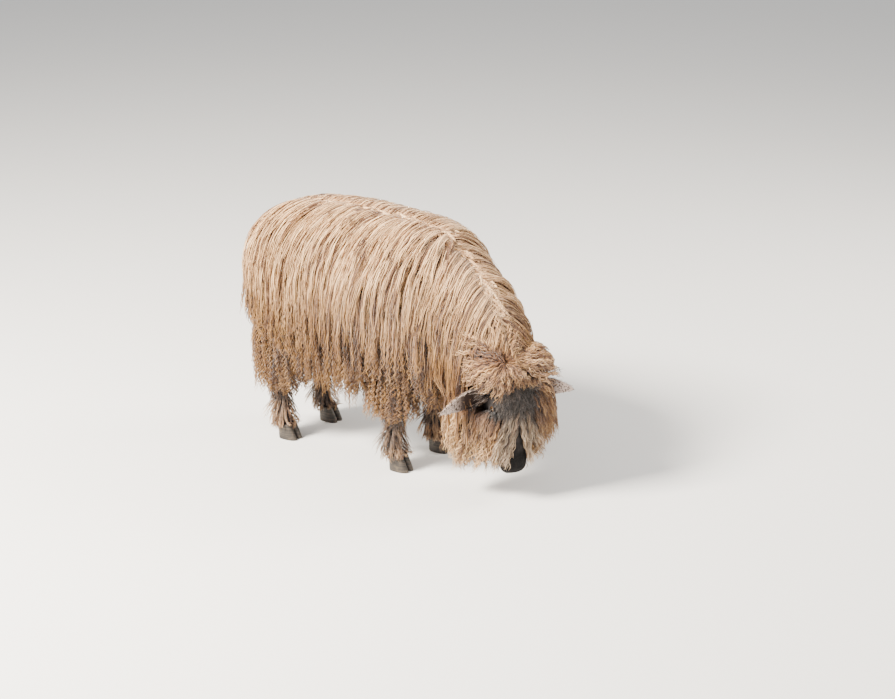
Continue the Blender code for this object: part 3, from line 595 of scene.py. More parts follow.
# The spine that the skin is unrolled along, from rump to muzzle, and its parts that have maps of their own
SPINE = [Vector((x, 0, (top + bottom) / 2)) for x, top, bottom, _ in TRUNK[:7]]
SPINE += [Vector(row[0]) for row in NECK[2:5]] + [on_head(row[0], 0, row[1]) for row in HEAD[1::2]]


def spine_place(points):
    """Share of the spine's length nearest each point, and the angle about it."""
    spine = np.array([tuple(p) for p in SPINE])
    steps = np.diff(spine, axis=0)
    lengths = np.linalg.norm(steps, axis=1)
    starts = np.concatenate([[0], np.cumsum(lengths)])
    best = np.full(len(points), 1e9)
    share, angle = np.zeros(len(points)), np.zeros(len(points))
    for k, (step, length) in enumerate(zip(steps, lengths)):
        t = np.clip((points - spine[k]) @ step / length ** 2, 0, 1)
        away = points - (spine[k] + t[:, None] * step)
        gap = np.linalg.norm(away, axis=1)
        ahead = step / length
        across = np.array(Vector((0, 0, 1)).cross(Vector(ahead)).normalized())
        up = np.cross(ahead, across)
        near = gap < best
        best[near] = gap[near]
        share[near] = ((starts[k] + t * length) / starts[-1])[near]
        angle[near] = np.arctan2(away @ across, away @ up)[near]
    return share, angle / (2 * np.pi) + 0.5


def in_patch(patch, u, v):
    """Spots on the map at the shares u and v of a patch's width and height."""
    left, low, wide, high = patch
    return np.stack([left + wide * u, low + high * v], 1)


def turn_about(a, b):
    return np.arctan2(a, b) / (2 * np.pi) + 0.5


def unrolled(points, part="body"):
    """Each place's spot on the skin's unrolled map. part is body, tail, ear or leg, and which of them."""
    points = np.asarray(points, float)
    if part == "body":
        return in_patch((0.01, 0.31, 0.98, 0.68), *spine_place(points))
    kind, which = part.split("_")
    which = int(which)
    if kind == "leg":
        side, x = (1, -1)[which % 2], (FRONT_X, HIND_X)[which // 2]
        turn = turn_about(points[:, 1] - side * STANCE, points[:, 0] - x + 0.022)
        return in_patch((0.01 + 0.15 * which, 0.01, 0.14, 0.28), turn, np.clip(points[:, 2] / 0.31, 0, 1))
    if kind == "tail":
        turn = turn_about(points[:, 1], points[:, 0] + 0.352)
        return in_patch((0.62, 0.01, 0.12, 0.28), turn, np.clip((points[:, 2] - 0.3) / 0.27, 0, 1))
    start, line, across, opening = ear_frame((1, -1)[which], 0.0)
    away = points - np.array(start)
    turn = turn_about(away @ np.array(across), away @ np.array(opening))
    length = np.clip(away @ np.array(line) / EAR_LENGTH, 0, 1)
    return in_patch((0.76 + 0.12 * which, 0.01, 0.11, 0.28), turn, length)


def spread(obj, gap, keep=None):
    """Places evenly strewn over a body's surface, no two nearer than the gap, with its directions there."""
    mesh = obj.data
    mesh.calc_loop_triangles()
    tris = read(mesh.vertices, "co")[read(mesh.loop_triangles, "vertices", 3, np.int32)].astype(float)
    edge, other = tris[:, 1] - tris[:, 0], tris[:, 2] - tris[:, 0]
    cross = np.cross(edge, other)
    area = np.linalg.norm(cross, axis=1)
    total = int(area.sum() / 2 / gap ** 2 * 5)
    pick = RNG.choice(len(tris), total, p=area / area.sum())
    u, v = RNG.random(total), RNG.random(total)
    u, v = np.where(u + v > 1, 1 - u, u), np.where(u + v > 1, 1 - v, v)
    points = tris[pick, 0] + u[:, None] * edge[pick] + v[:, None] * other[pick]
    normals = cross[pick] / area[pick, None]
    cells, kept = {}, []
    for k, cell in enumerate(map(tuple, np.floor(points / gap).astype(int))):
        if keep is not None and not keep(Vector(points[k]), Vector(normals[k])):
            continue
        near = (cells.get((cell[0] + i, cell[1] + j, cell[2] + m), ())
                for i in (-1, 0, 1) for j in (-1, 0, 1) for m in (-1, 0, 1))
        if all(((points[k] - points[o]) ** 2).sum() > gap ** 2 for group in near for o in group):
            cells.setdefault(cell, []).append(k)
            kept.append(k)
    return [(Vector(points[k]), Vector(normals[k])) for k in kept]


def drape(tree, root, lie, length, stand, weight, lift, steps=8):
    """A lock's path over a cover: it follows its lie, sinks under its weight and stays off the surface.

    It stands off ever further towards its tip, so that each lock lies over the roots of the next.
    """
    near, normal, _, _ = tree.find_nearest(root)
    course, step = (lie - normal * lie.dot(normal) * 0.8).normalized(), length / steps
    place, facing = near + normal * lift * 0.6, normal
    path, normals = [place], [normal]
    for k in range(steps):
        share = (k + 1) / steps
        course = (course - UP * weight * (0.4 + 0.6 * share) * 8 / steps).normalized()
        target = place + course * step
        near, normal, _, _ = tree.find_nearest(target)
        height = (target - near).dot(normal)
        want = lift + stand * share
        if height < want:
            target = near + normal * want
        elif normal.z > -0.1:
            target -= normal * (height - want) * 0.4
        course = (target - place).normalized()
        place = place + course * step
        facing = (facing * 0.55 + normal * 0.45).normalized()
        path.append(place)
        normals.append(facing)
    return path, normals


class Locks:
    """Locks that are draped one by one, and then drawn as joined strands."""

    def __init__(self):
        self.paths, self.normals, self.roots, self.facts = [], [], [], []

    def add(self, root, path, normals, tone, radius, crimp, wave):
        self.paths.append([tuple(root)] + [tuple(p) for p in path])
        self.normals.append([tuple(normals[0])] + [tuple(n) for n in normals])
        self.roots.append(tuple(root))
        self.facts.append((tone, radius, crimp, wave))

    def arrays(self):
        return (np.array(self.paths), np.array(self.normals), np.array(self.roots), np.array(self.facts))


def unit(vectors):
    return vectors / np.maximum(np.linalg.norm(vectors, axis=-1, keepdims=True), 1e-9)


def along_path(paths, which, spots):
    """Places on a smooth curve through the points of each chosen path, at spots counted in its steps."""
    last = paths.shape[1] - 1
    at = np.clip(np.floor(spots).astype(int), 0, last - 1)
    four = (paths[which[:, None], np.clip(at + d, 0, last)] for d in (-1, 0, 1, 2))
    return between(*four, (spots - at)[..., None])


def draw_locks(locks, strands, points, width, clump=0.3, frizz=0.003, uneven=0.35, rounded=0.003, thick=0.45,
               straight=0.75, contrast=0.13):
    """Strands side by side over each lock's width, highest along its middle, and lightest there because their
    tones are darkened towards the lock's edges as painted shade.

    They are drawn together to the lock's tip by clump, stray by frizz, end unevenly, and crimp from where the
    lock is no longer straight.
    """
    paths, normals, roots, facts = locks.arrays()
    which = np.repeat(np.arange(len(paths)), strands)
    many = len(which)
    tone, radius, crimp, wave = facts[which].T
    spot = (np.tile(np.arange(strands), len(paths)) + 0.5) / strands * 2 - 1
    spot = spot + RNG.normal(0, 0.6 / strands, many)
    reach = 1 - uneven * RNG.random(many)
    outer = np.concatenate([[0.0], np.linspace(0, 1, points - 1)])
    spots = 1 + outer * (paths.shape[1] - 2) * reach[:, None]
    spots[:, 0] = 0
    place = along_path(paths, which, spots)
    facing = unit(along_path(normals, which, spots))
    ahead = unit(np.gradient(place, axis=1))
    side = unit(np.cross(ahead, facing))
    out = unit(np.cross(side, ahead))
    lapse = 1 - clump * outer[None, :] ** 1.5
    off_side = (spot * radius)[:, None] * lapse
    off_out = ((1 - spot ** 2) * rounded + RNG.uniform(0, rounded, many))[:, None] * lapse
    run = np.cumsum(np.linalg.norm(np.diff(place, axis=1, prepend=place[:, :1]), axis=2), axis=1)
    phase = 2 * np.pi * run / wave[:, None] + (tone * 977 + RNG.normal(0, 0.5, many))[:, None]
    grow = crimp[:, None] * (1 - straight + straight * outer[None, :] ** 1.5)
    stray = RNG.normal(0, frizz, (many, 2))
    place = place + side * (off_side + grow * np.sin(phase) + stray[:, :1] * outer ** 2)[..., None]
    lifted = off_out + 0.5 * grow * np.cos(phase) + np.abs(stray[:, 1:]) * outer ** 2 * 0.5
    place = place + out * lifted[..., None]
    full = np.interp(outer, *STRAND_TAPER)
    wide = width * (0.75 + 0.5 * RNG.random(many))
    # Tones: the lock's random tone and some noise, partly the wool's own variation and partly painted shade
    # between locks, darkened towards the lock's edges as painted shade
    tones_and_shade = np.clip(tone - 0.4 * spot ** 2 + RNG.normal(0.10, contrast, many), 0, 1)
    return place, out, wide[:, None] * full, np.full(many, thick), roots[which], tones_and_shade, tone


def strand_faces(points):
    """Faces of one closed, three-sided strand with this many points along it, the last its tip."""
    sides = ((0, 1), (1, 2), (2, 0))
    faces = [(0, 2, 1)]
    for base in range(0, 3 * (points - 2), 3):
        for a, b in sides:
            faces += [(base + a, base + b, base + 3 + b), (base + a, base + 3 + b, base + 3 + a)]
    base = 3 * (points - 2)
    return np.array(faces + [(base + a, base + b, base + 3) for a, b in sides])


def draw_mesh(name, strands, uv_part, shade):
    """One mesh of closed, tapered, three-sided strands, in the frame, with the maps that the finish reads."""
    place, out, wide, flat, roots, tones_and_shade, phases = strands
    many, points = place.shape[:2]
    ahead = unit(np.gradient(place, axis=1))
    side = unit(np.cross(ahead, out))
    out = unit(np.cross(side, ahead))
    half, deep = side * (wide[..., None] / 2), out * (wide[..., None] * flat[:, None, None] / 2)
    trio = np.stack([place + half - deep, place + deep, place - half - deep], 2)
    verts = np.concatenate([trio[:, :-1].reshape(many, -1, 3), place[:, -1:]], 1)
    per = verts.shape[1]
    every = (strand_faces(points)[None] + (np.arange(many) * per)[:, None, None]).reshape(-1, 3)
    data = bpy.data.meshes.new(name)
    data.vertices.add(many * per)
    data.vertices.foreach_set("co", (verts - np.array(SHIFT)).astype(np.float32).ravel())
    data.loops.add(every.size)
    data.loops.foreach_set("vertex_index", every.astype(np.int32).ravel())
    data.polygons.add(len(every))
    data.polygons.foreach_set("loop_start", np.arange(0, every.size, 3, dtype=np.int32))
    data.polygons.foreach_set("use_smooth", np.ones(len(every), bool))
    share = np.concatenate([np.repeat(np.linspace(0, 1, points)[:-1], 3), [1.0]])
    # along: 0 at the sunken root, 0.25 where the strand leaves the skin, 1 at its tip; the ramps' painted
    # root shade falls on the first stretch
    shown = np.concatenate([np.zeros(3), 0.25 + 0.75 * share[3:]])
    cross = np.concatenate([np.tile([0.0, 0.5, 1.0], points - 1), [0.5]])
    patch = np.stack([(cross - 0.5), (share - 0.5)], 1) * BAKE_PATCH
    bake = (unrolled(roots, uv_part)[:, None] + patch[None]).reshape(-1, 2)
    fibre = np.stack([np.tile(cross, many), np.tile(share, many) + np.repeat(phases * 37, per)], 1)
    give_map(data, "OFBake", bake[every.ravel()])
    give_map(data, "Fibre", fibre[every.ravel()])
    give(data, "along", np.tile(shown, many))
    give(data, "tone", np.repeat(tones_and_shade, per))
    data.update()
    data.validate()
    obj = put(name, data)
    data.materials.append(shade)
    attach(obj, "root")
    return obj


class Nodes:
    """A small helper to write a material's nodes in order."""

    def __init__(self, name, roughness, sheen=0.0):
        self.material = bpy.data.materials.new(name)
        self.material.use_nodes = True
        self.tree = self.material.node_tree
        self.shader = self.tree.nodes["Principled BSDF"]
        self.shader.inputs["Roughness"].default_value = roughness
        self.shader.inputs["Sheen Weight"].default_value = sheen
        self.shader.inputs["Sheen Roughness"].default_value = 0.5

    def add(self, kind, **settings):
        node = self.tree.nodes.new("ShaderNode" + kind)
        for key, value in settings.items():
            setattr(node, key, value)
        return node

    def link(self, source, target):
        self.tree.links.new(source, target)

    def attribute(self, name):
        return self.add("Attribute", attribute_name=name).outputs["Fac"]

    def position(self):
        return self.add("TexCoord").outputs["Object"]

    def noise(self, vector, scale, detail=2.0, stretch=None):
        if stretch:
            mapping = self.add("Mapping")
            mapping.inputs["Scale"].default_value = stretch
            self.link(vector, mapping.inputs["Vector"])
            vector = mapping.outputs["Vector"]
        node = self.add("TexNoise")
        node.inputs["Scale"].default_value = scale
        node.inputs["Detail"].default_value = detail
        self.link(vector, node.inputs["Vector"])
        return node.outputs["Fac"]

    def range(self, value, low, high, to_low=0.0, to_high=1.0):
        node = self.add("MapRange")
        for key, number in (("From Min", low), ("From Max", high), ("To Min", to_low), ("To Max", to_high)):
            node.inputs[key].default_value = number
        self.link(value, node.inputs["Value"])
        return node.outputs["Result"]

    def maths(self, operation, a, b):
        node = self.add("Math", operation=operation)
        for socket, value in zip(node.inputs, (a, b)):
            if isinstance(value, (int, float)):
                socket.default_value = value
            else:
                self.link(value, socket)
        return node.outputs[0]

    def ramp(self, value, stops):
        node = self.add("ValToRGB")
        elements = node.color_ramp.elements
        while len(elements) < len(stops):
            elements.new(0.5)
        for element, (spot, colour) in zip(elements, stops):
            element.position = spot
            element.color = (*colour, 1)
        self.link(value, node.inputs["Fac"])
        return node.outputs["Color"]

    def mix(self, share, a, b, blend="MIX"):
        node = self.add("Mix", data_type="RGBA", blend_type=blend)
        sockets = [s for s in node.inputs if s.name in ("A", "B") and s.type == "RGBA"]
        factor = next(s for s in node.inputs if s.name == "Factor" and s.type == "VALUE")
        for socket, value in ((factor, share), (sockets[0], a), (sockets[1], b)):
            if isinstance(value, (int, float)):
                socket.default_value = value
            elif isinstance(value, tuple):
                socket.default_value = (*value, 1)
            else:
                self.link(value, socket)
        return next(s for s in node.outputs if s.type == "RGBA")

    def bump(self, height, strength, distance):
        node = self.add("Bump")
        node.inputs["Strength"].default_value = strength
        node.inputs["Distance"].default_value = distance
        self.link(height, node.inputs["Height"])
        self.link(node.outputs["Normal"], self.shader.inputs["Normal"])

    def colour(self, value):
        self.link(value, self.shader.inputs["Base Color"])


def wool_material(name, ramps, dark, crimps, whorl_shade=None, valley_shade=0.22, levels=(0.32, 0.62)):
    """Wool coloured along its strands and darkest at the root as painted shade, one ramp low down that is
    partly painted shade and one high up, with painted shade in streaks and crimp valleys, a crimped bump, and
    a reddish-brown patch of painted shade beside the whorl.
    """
    n = Nodes(name, 0.80, 0.20)
    low_ramp, high_ramp = ramps
    colour = n.ramp(n.attribute("along"), high_ramp)
    place = n.position()
    # Low on the body the colour turns to the darker low ramp: partly the wool's own golden, dirtier colour
    # there and partly painted shade on the lower body and belly
    if low_ramp:
        height = n.add("SeparateXYZ")
        n.link(place, height.inputs[0])
        level = n.maths("ADD", height.outputs["Z"], n.range(n.noise(place, 8.0, 3.0), 0.3, 0.7, -0.07, 0.07))
        colour = n.mix(n.range(level, *levels), n.ramp(n.attribute("along"), low_ramp), colour)
    fibre = n.add("UVMap", uv_map="Fibre").outputs["UV"]
    # Painted shade: dark streaks along the strands, standing for the shade in the gaps between them
    streak_shade = n.noise(fibre, 1.0, 2.0, (5.0, 0.9, 1.0))
    colour = n.mix(n.range(streak_shade, 0.42, 0.70, 0.0, 0.8), colour, dark)
    # Painted shade by tone: strands darkened by their tones, which hold painted shade at each lock's edges
    shade = n.ramp(n.attribute("tone"), TONE_AND_SHADE_RAMP)
    wave = n.add("TexWave", bands_direction="Y")
    wave.inputs["Scale"].default_value = crimps * 0.314
    wave.inputs["Distortion"].default_value = 1.2
    n.link(fibre, wave.inputs["Vector"])
    # Painted shade: the crimps' valleys darkened and their crests left light
    colour = n.mix(n.range(wave.outputs["Fac"], 0.0, 0.6, valley_shade, 0.0), colour, dark)
    # Painted shade: a reddish-brown patch darkens the wool near the spots beside the whorl
    if whorl_shade:
        spots, near, far, tint = whorl_shade
        nearest = 1.0
        for spot in spots:
            away = n.add("VectorMath", operation="DISTANCE")
            n.link(place, away.inputs[0])
            away.inputs[1].default_value = spot
            nearest = n.maths("MINIMUM", away.outputs["Value"], nearest)
        uneven = n.maths("ADD", nearest, n.range(n.noise(place, 60.0), 0.3, 0.7, -0.010, 0.010))
        colour = n.mix(n.range(uneven, near, far, 0.9, 0.0), colour, tint)
    n.colour(n.mix(1.0, colour, shade, "MULTIPLY"))
    n.bump(wave.outputs["Fac"], 0.5, 0.0015)
    return n.material


def skin_material():
    """Short dark hair on face and legs, black nose leather, speckled ears, and pale skin under the wool."""
    n = Nodes("skin", 0.75)
    n.shader.inputs["Specular IOR Level"].default_value = 0.12
    place = n.position()
    speckle = n.noise(place, 260.0, 1.0)
    patchy = n.range(n.noise(place, 60.0, 4.0), 0.35, 0.65)
    face = n.mix(patchy, (0.012, 0.010, 0.010), (0.035, 0.030, 0.029))
    muzzle = n.mix(n.range(speckle, 0.4, 0.6), (0.003, 0.0025, 0.0025), (0.008, 0.007, 0.007))
    colour = n.mix(n.attribute("muzzle"), face, muzzle)
    ears = n.mix(n.range(speckle, 0.52, 0.60), (0.50, 0.39, 0.34), (0.06, 0.042, 0.035))
    colour = n.mix(n.attribute("ear"), colour, ears)
    # Inside each ear's cup, towards its root: dark, partly its hair and partly painted shade
    colour = n.mix(n.attribute("cup"), colour, (0.022, 0.013, 0.010))
    colour = n.mix(n.attribute("woolly"), colour, (0.36, 0.24, 0.15))
    n.colour(colour)
    hairs = n.noise(place, 700.0, 3.0, (1.0, 1.0, 0.35))
    n.bump(hairs, 0.5, 0.0012)
    return n.material


def eye_material():
    n = Nodes("eye_glass", 0.04)
    n.shader.inputs["Coat Weight"].default_value = 1.0
    n.shader.inputs["Coat Roughness"].default_value = 0.02
    n.colour(n.ramp(n.attribute("pupil"), ((0.0, (0.006, 0.004, 0.003)), (0.30, (0.008, 0.005, 0.003)),
                                           (0.36, (0.085, 0.042, 0.014)), (0.85, (0.035, 0.018, 0.008)),
                                           (1.0, (0.10, 0.08, 0.07)))))
    return n.material


def horn_material():
    n = Nodes("hoof_horn", 0.55)
    place = n.position()
    rings = n.noise(place, 1.0, 3.0, (18.0, 18.0, 420.0))
    dust = n.noise(place, 90.0, 4.0)
    colour = n.mix(n.range(rings, 0.4, 0.65), (0.014, 0.011, 0.009), (0.055, 0.042, 0.030))
    n.colour(n.mix(n.range(dust, 0.5, 0.75, 0.0, 0.6), colour, (0.13, 0.095, 0.060)))
    n.bump(rings, 0.6, 0.0012)
    return n.material


def placed(obj, name, shade, slot_name, *nodes):
    """Moves a body from the plan to the frame, names it, gives it its material, and hides the model's parts
    that it stands for.
    """
    for v in obj.data.vertices:
        v.co -= SHIFT
    obj.name = obj.data.name = name
    obj.data.materials.clear()
    obj.data.materials.append(shade)
    obj.data.shade_smooth()
    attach(obj, "root")
    if nodes:
        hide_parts(*nodes)
    return obj


def smoothstep(value, low, high):
    t = np.clip((value - low) / (high - low), 0, 1)
    return t * t * (3 - 2 * t)


def mark_skin(skin):
    """Where the skin is nose leather, ear, inside of an ear's cup or hidden by wool, as shares that the
    finish mixes by; the cup is painted dark, partly for its hair and partly as painted shade.
    """
    places = read(skin.data.vertices, "co").astype(float)
    normals = read(skin.data.vertices, "normal").astype(float)
    local = places - np.array(OCCIPUT)
    a, b = (local @ np.array(axis) for axis in head_axes()[:2])
    by_head = np.linalg.norm(local, axis=1) < 0.28
    ear_share = smoothstep(np.abs(b), 0.062, 0.075) * (a > -0.05) * by_head
    cup = np.zeros(len(places))
    for side in (1, -1):
        start, line, _, opening = ear_frame(side, 0.0)
        share = (places - np.array(start)) @ np.array(line) / EAR_LENGTH
        inside = smoothstep(normals @ np.array(opening), -0.1, 0.4) * (1 - smoothstep(share, 0.45, 0.85))
        cup = np.maximum(cup, inside * ear_share * (b * side > 0))
    give(skin.data, "muzzle", smoothstep(a, 0.172, 0.195))
    give(skin.data, "ear", ear_share)
    give(skin.data, "cup", cup)
    give(skin.data, "woolly", np.where((places[:, 2] < 0.26) | by_head & (a > -0.02), 0.0, 1.0))
    give_map(skin.data, "OFBake", unrolled(places)[read(skin.data.loops, "vertex_index", 1, np.int32)[:, 0]])


def make_eyes(shade):
    for side, word in ((1, "left"), (-1, "right")):
        centre, across, up, gaze = eye_frame(side)
        eye = ball("eye", centre, EYE_RADIUS, 48, axes=(across, up, gaze))
        pupil = []
        for v in eye.data.vertices:
            d = (v.co - centre) / EYE_RADIUS
            x, y, z = d.dot(across), d.dot(up), d.dot(gaze)
            slit = math.hypot(x / 0.55, y / 0.24)
            iris = math.hypot(x, y) / 0.78
            pupil.append(1.0 if z < 0.5 else min(0.30 * slit if slit < 1 else 0.36 + 0.5 * iris ** 2, 1.0))
        give(eye.data, "pupil", pupil)
        placed(eye, f"eye_ball_{word}", shade, "eye", f"eye_{word}")


def closed_curve(corners, steps):
    """A smooth closed curve through the corners."""
    count = len(corners)
    return [between(*(corners[(i + d) % count] for d in (-1, 0, 1, 2)), j / steps)
            for i in range(count) for j in range(steps)]


def claw(x, middle, away):
    """One claw, round on the side that it turns away from its twin and flat towards it, with growth rings."""
    rings = []
    for k, (height, half_width, toe, heel) in enumerate(smooth_rows(CLAW, 5)):
        near, far = -away * half_width * 0.95, away * half_width
        outline = (
            (heel, near * 0.6), (heel * 0.5, near), (toe * 0.2, near), (toe * 0.75, near),
            (toe, near * 0.3), (toe * 0.86, far * 0.35), (toe * 0.5, far * 0.8), (0.0, far),
            (heel * 0.6, far * 0.95), (heel, far * 0.45),
        )
        swell = 1 + 0.012 * math.sin(k * 2.2)
        rings.append([Vector((x + p.x * swell, middle + p.y * swell, height))
                      for p in closed_curve([Vector(corner) for corner in outline], 3)])
    return loft("claw", rings)


def make_hooves(shade):
    for end, x in (("front", FRONT_X), ("hind", HIND_X)):
        for side, word in ((1, "left"), (-1, "right")):
            for which, outwards in (("inner", -1), ("outer", 1)):
                where = f"{end}_{word}_{which}"
                middle = side * (STANCE + outwards * CLAW_APART)
                placed(claw(x, middle, side * outwards), f"hoof_{where}", shade, "horn", f"claw_{where}")


def side_of(y):
    return 1.0 if y >= 0 else -1.0


def on_face(p):
    """A place in the head's own directions: along the face, to the lamb's left and out of the forehead."""
    along, left, out = head_axes()
    local = p - OCCIPUT
    return local.dot(along), local.dot(left), local.dot(out)


def belongs_to_head(p):
    a, b, c = on_face(p)
    centre, sizes = PUFFS[0]
    dome = sum(((n - m) / size) ** 2 for n, m, size in zip((a, b, c), centre, sizes)) < 1.5
    back = -0.030 if b < -0.080 else -0.090 if b < -0.01 else -0.060
    return dome or a > back and c > -0.012 or a > 0.035 and c > -0.150


def wobble(p):
    """A slow change of the lie from place to place, so that locks gather and part."""
    return noise.noise_vector(p * 11) * 0.24 + noise.noise_vector(p * 34) * 0.16


def from_parting(p):
    """How far to the left of the parting a place is, with the parting's direction and the way across it."""
    if p.x < 0.14:
        return p.y, FORWARD, LEFT
    centre, ahead, across = min(CREST, key=lambda f: (f[0] - p).length_squared)[:3]
    share = min((p.x - 0.14) / 0.16, 1.0)
    aside = (p - centre).dot(across) * share + p.y * (1 - share)
    return aside, FORWARD.lerp(ahead, share).normalized(), LEFT.lerp(across, share).normalized()


def at_parting(p, n):
    return n.z > 0.3 and abs(from_parting(p)[0]) < PARTING


def body_lie(p, n):
    """Which way wool leans: off the parting to its own side and straight down; back and down behind."""
    top = max(n.z, 0.0)
    aside, ahead, across = from_parting(p)
    lean = 0.08 if p.x > 0.24 else -0.12 * top
    sideways = across * side_of(aside) * (0.12 + 1.1 * top) + UP * (0.7 * top - 1.0) + ahead * lean
    behind = min(max((-n.x - 0.20) / 0.45, 0.0), 1.0) if p.x < 0 else 0.0
    return sideways.lerp(Vector((-0.25 if p.z > 0.35 else 0.0, p.y * 2, -1.0)), behind)


def hem_height(p):
    """How low the wool hangs at a place: lowest at the throat, highest before the thighs."""
    if p.x > 0.30:
        return 0.085 if abs(p.y + 0.05) > 0.06 else 0.050
    return by_place(HEM, p.x)


def smooth_end(p):
    """How far down the smooth locks of a place reach, before curled wool takes over."""
    return by_place(SMOOTH_ENDS, p.x) + RNG.uniform(-0.03, 0.02)


def curls(p):
    """Whether the wool rooted at a place is tightly curled."""
    return p.z < by_place(CURLS_BELOW, p.x) + 0.05 * noise.noise(p * 14)


def near_ears():
    """The frames of both ears where they stand clear of the wool."""
    clear = [(1, 0.88 + 0.1 * k) for k in range(2)] + [(-1, 0.25 + 0.1 * k) for k in range(8)]
    return [ear_frame(side, share) for side, share in clear]


def hides_ears(path, ears):
    """Whether a lock lies in an ear, at one of the places that the frames are for, or before its cup."""
    for centre, line, across, opening in ears:
        for p in path:
            away = p - centre
            if (abs(away.dot(line)) < 0.012 and abs(away.dot(across)) < 0.022
                    and -0.012 < away.dot(opening) < 0.060):
                return True
    return False


def body_length(p, low, longest):
    """How long the wool rooted at a place is: down to the hem, or to where curled wool takes over."""
    if low:
        most = 0.145 if -0.08 < p.x < 0.12 else 0.118
        return min(max(p.z - hem_height(p), 0.045), most) * RNG.uniform(*LENGTHS_VARY)
    ends = smooth_end(p) if p.x < 0.30 else hem_height(p) + 0.04
    length = min(max((p.z - ends) * 1.25, 0.07), longest) * RNG.uniform(*LENGTHS_VARY)
    _, b, c = on_face(p)
    if abs(b) < 0.075 and c > -0.03:
        length = min(length, max((p - on_head(*WHORL)).length * 0.85, 0.030))
    return length


def body_locks(cover, tree, skin_tree, gap, longest, lift, stand, short=1.0):
    """Locks over trunk and neck, rooted in the skin, lying over the cover and thickest set at the parting."""
    smooth, curly = Locks(), Locks()
    whorl, ears = on_head(*WHORL), near_ears()
    for p, n in spread(cover, gap) + spread(cover, gap * 0.6, at_parting):
        belly = n.z < -0.75 and -0.18 < p.x < 0.27
        hidden = belly or p.z < 0.30 and abs(p.y) < STANCE and p.x < 0.25
        if belongs_to_head(p) or hidden and RNG.random() < 0.5:
            continue
        low = curls(p)
        length = body_length(p, low, longest) * short
        lie = body_lie(p, n) + wobble(p) * (1.6 if low else 1.0)
        near, out, _, _ = skin_tree.find_nearest(p - n * 0.02)
        path, facing = drape(tree, p, lie, length, RNG.uniform(*stand), 0.30, RNG.uniform(*lift))
        if (p - whorl).length < 0.30 and hides_ears(path, ears):
            continue
        tone = some(0.58, 0.32)
        tight = min(max((0.44 - p.z) / 0.12, 0.0), 1.0)
        crimp, wave = (0.0024 + 0.0022 * tight, 0.0260 - 0.0105 * tight) if low else (0.0022, 0.062)
        radius = 0.0052 * RNG.uniform(*WIDTHS_VARY)
        (curly if low else smooth).add(near - out * ROOT_DEPTH, path, facing, tone, radius, crimp, wave)
    return smooth, curly


def parting_locks(cover, tree, skin_tree):
    """Broad locks along back and crest, low between those that fall to each side, that close the parting."""
    locks = Locks()
    for p, n in spread(cover, 0.010, at_parting):
        if belongs_to_head(p):
            continue
        _, ahead, across = from_parting(p)
        near, out, _, _ = skin_tree.find_nearest(p - n * 0.02)
        length = min(0.060, max((p - on_head(*WHORL)).length * 0.6, 0.015))
        lie = ahead + across * RNG.normal(0, 0.9)
        path, facing = drape(tree, p - n * 0.002, lie, length, 0.002, 0.02, 0.000, 6)
        locks.add(near - out * ROOT_DEPTH, path, facing, some(0.5, 0.2), 0.006, 0.002, 0.05)
    return locks


def thick_set(p):
    """Whether a place on the head is at the whorl or on the short-haired face, where locks stand closer."""
    a, b, c = on_face(p)
    return (p - on_head(*WHORL)).length < 0.034 or 0 < a < 0.07 and abs(b) < 0.042 and c > -0.034


def head_kind(a, b, c, to_eye):
    """Which kind of wool grows at a place on the head."""
    if to_eye < 0.027:
        return "lid"
    if a < (0.006 if -0.072 < b < 0.050 else 0.030) and c > -0.055:
        return "fringe" if a > -0.032 and b < 0.060 else "topknot"
    if abs(b) < 0.042 and c > -0.034:
        return "face" if a < 0.070 else "nose"
    if c > -0.052 and (b > 0 or a < 0.115):
        return "cheek" if b > 0 else "near_cheek" if a > 0.04 else "brow"
    return "ruff"


def head_lie(kind, p, n, a, b):
    """Which way a kind of wool leans: the topknot out from its whorl, the rest down the face and aside."""
    along, left, out = head_axes()
    aside = left * side_of(b)
    if kind in ("topknot", "fringe"):
        radial = p - on_head(*WHORL)
        lie = (radial - n * radial.dot(n)).normalized() + along * 0.25 * max(a + 0.02, 0) / 0.06
        return lie - UP * 0.35 if b < -0.02 else lie
    if kind == "lid":
        return along + aside * 0.4
    if kind in ("face", "nose"):
        return along + aside * (0.2 + 9 * abs(b))
    if kind == "ruff":
        return aside * 0.3 - UP - out * 0.3
    return aside * (0.45 if b > 0 else 0.7) + along


def head_length(kind, a, b):
    """How long a lock of a kind is, so that the fringe, the muzzle and the far ear stay clear."""
    least, most = HEAD_WOOL[kind][0]
    length = RNG.uniform(least, most) if most > least else least
    if kind in ("topknot", "fringe"):
        if -0.085 < b < 0.050:
            return min(length, max(FRINGE - a, 0.022) * RNG.choice((0.8, 1.0, 1.1, 1.4)))
        return min(length, 0.068 if b > 0 else 0.058) * RNG.uniform(0.7, 1.15)
    if kind in ("face", "nose"):
        return min(length, max(0.228 - a, 0.022))
    return length * 0.75 if kind == "cheek" and a > 0.09 else length


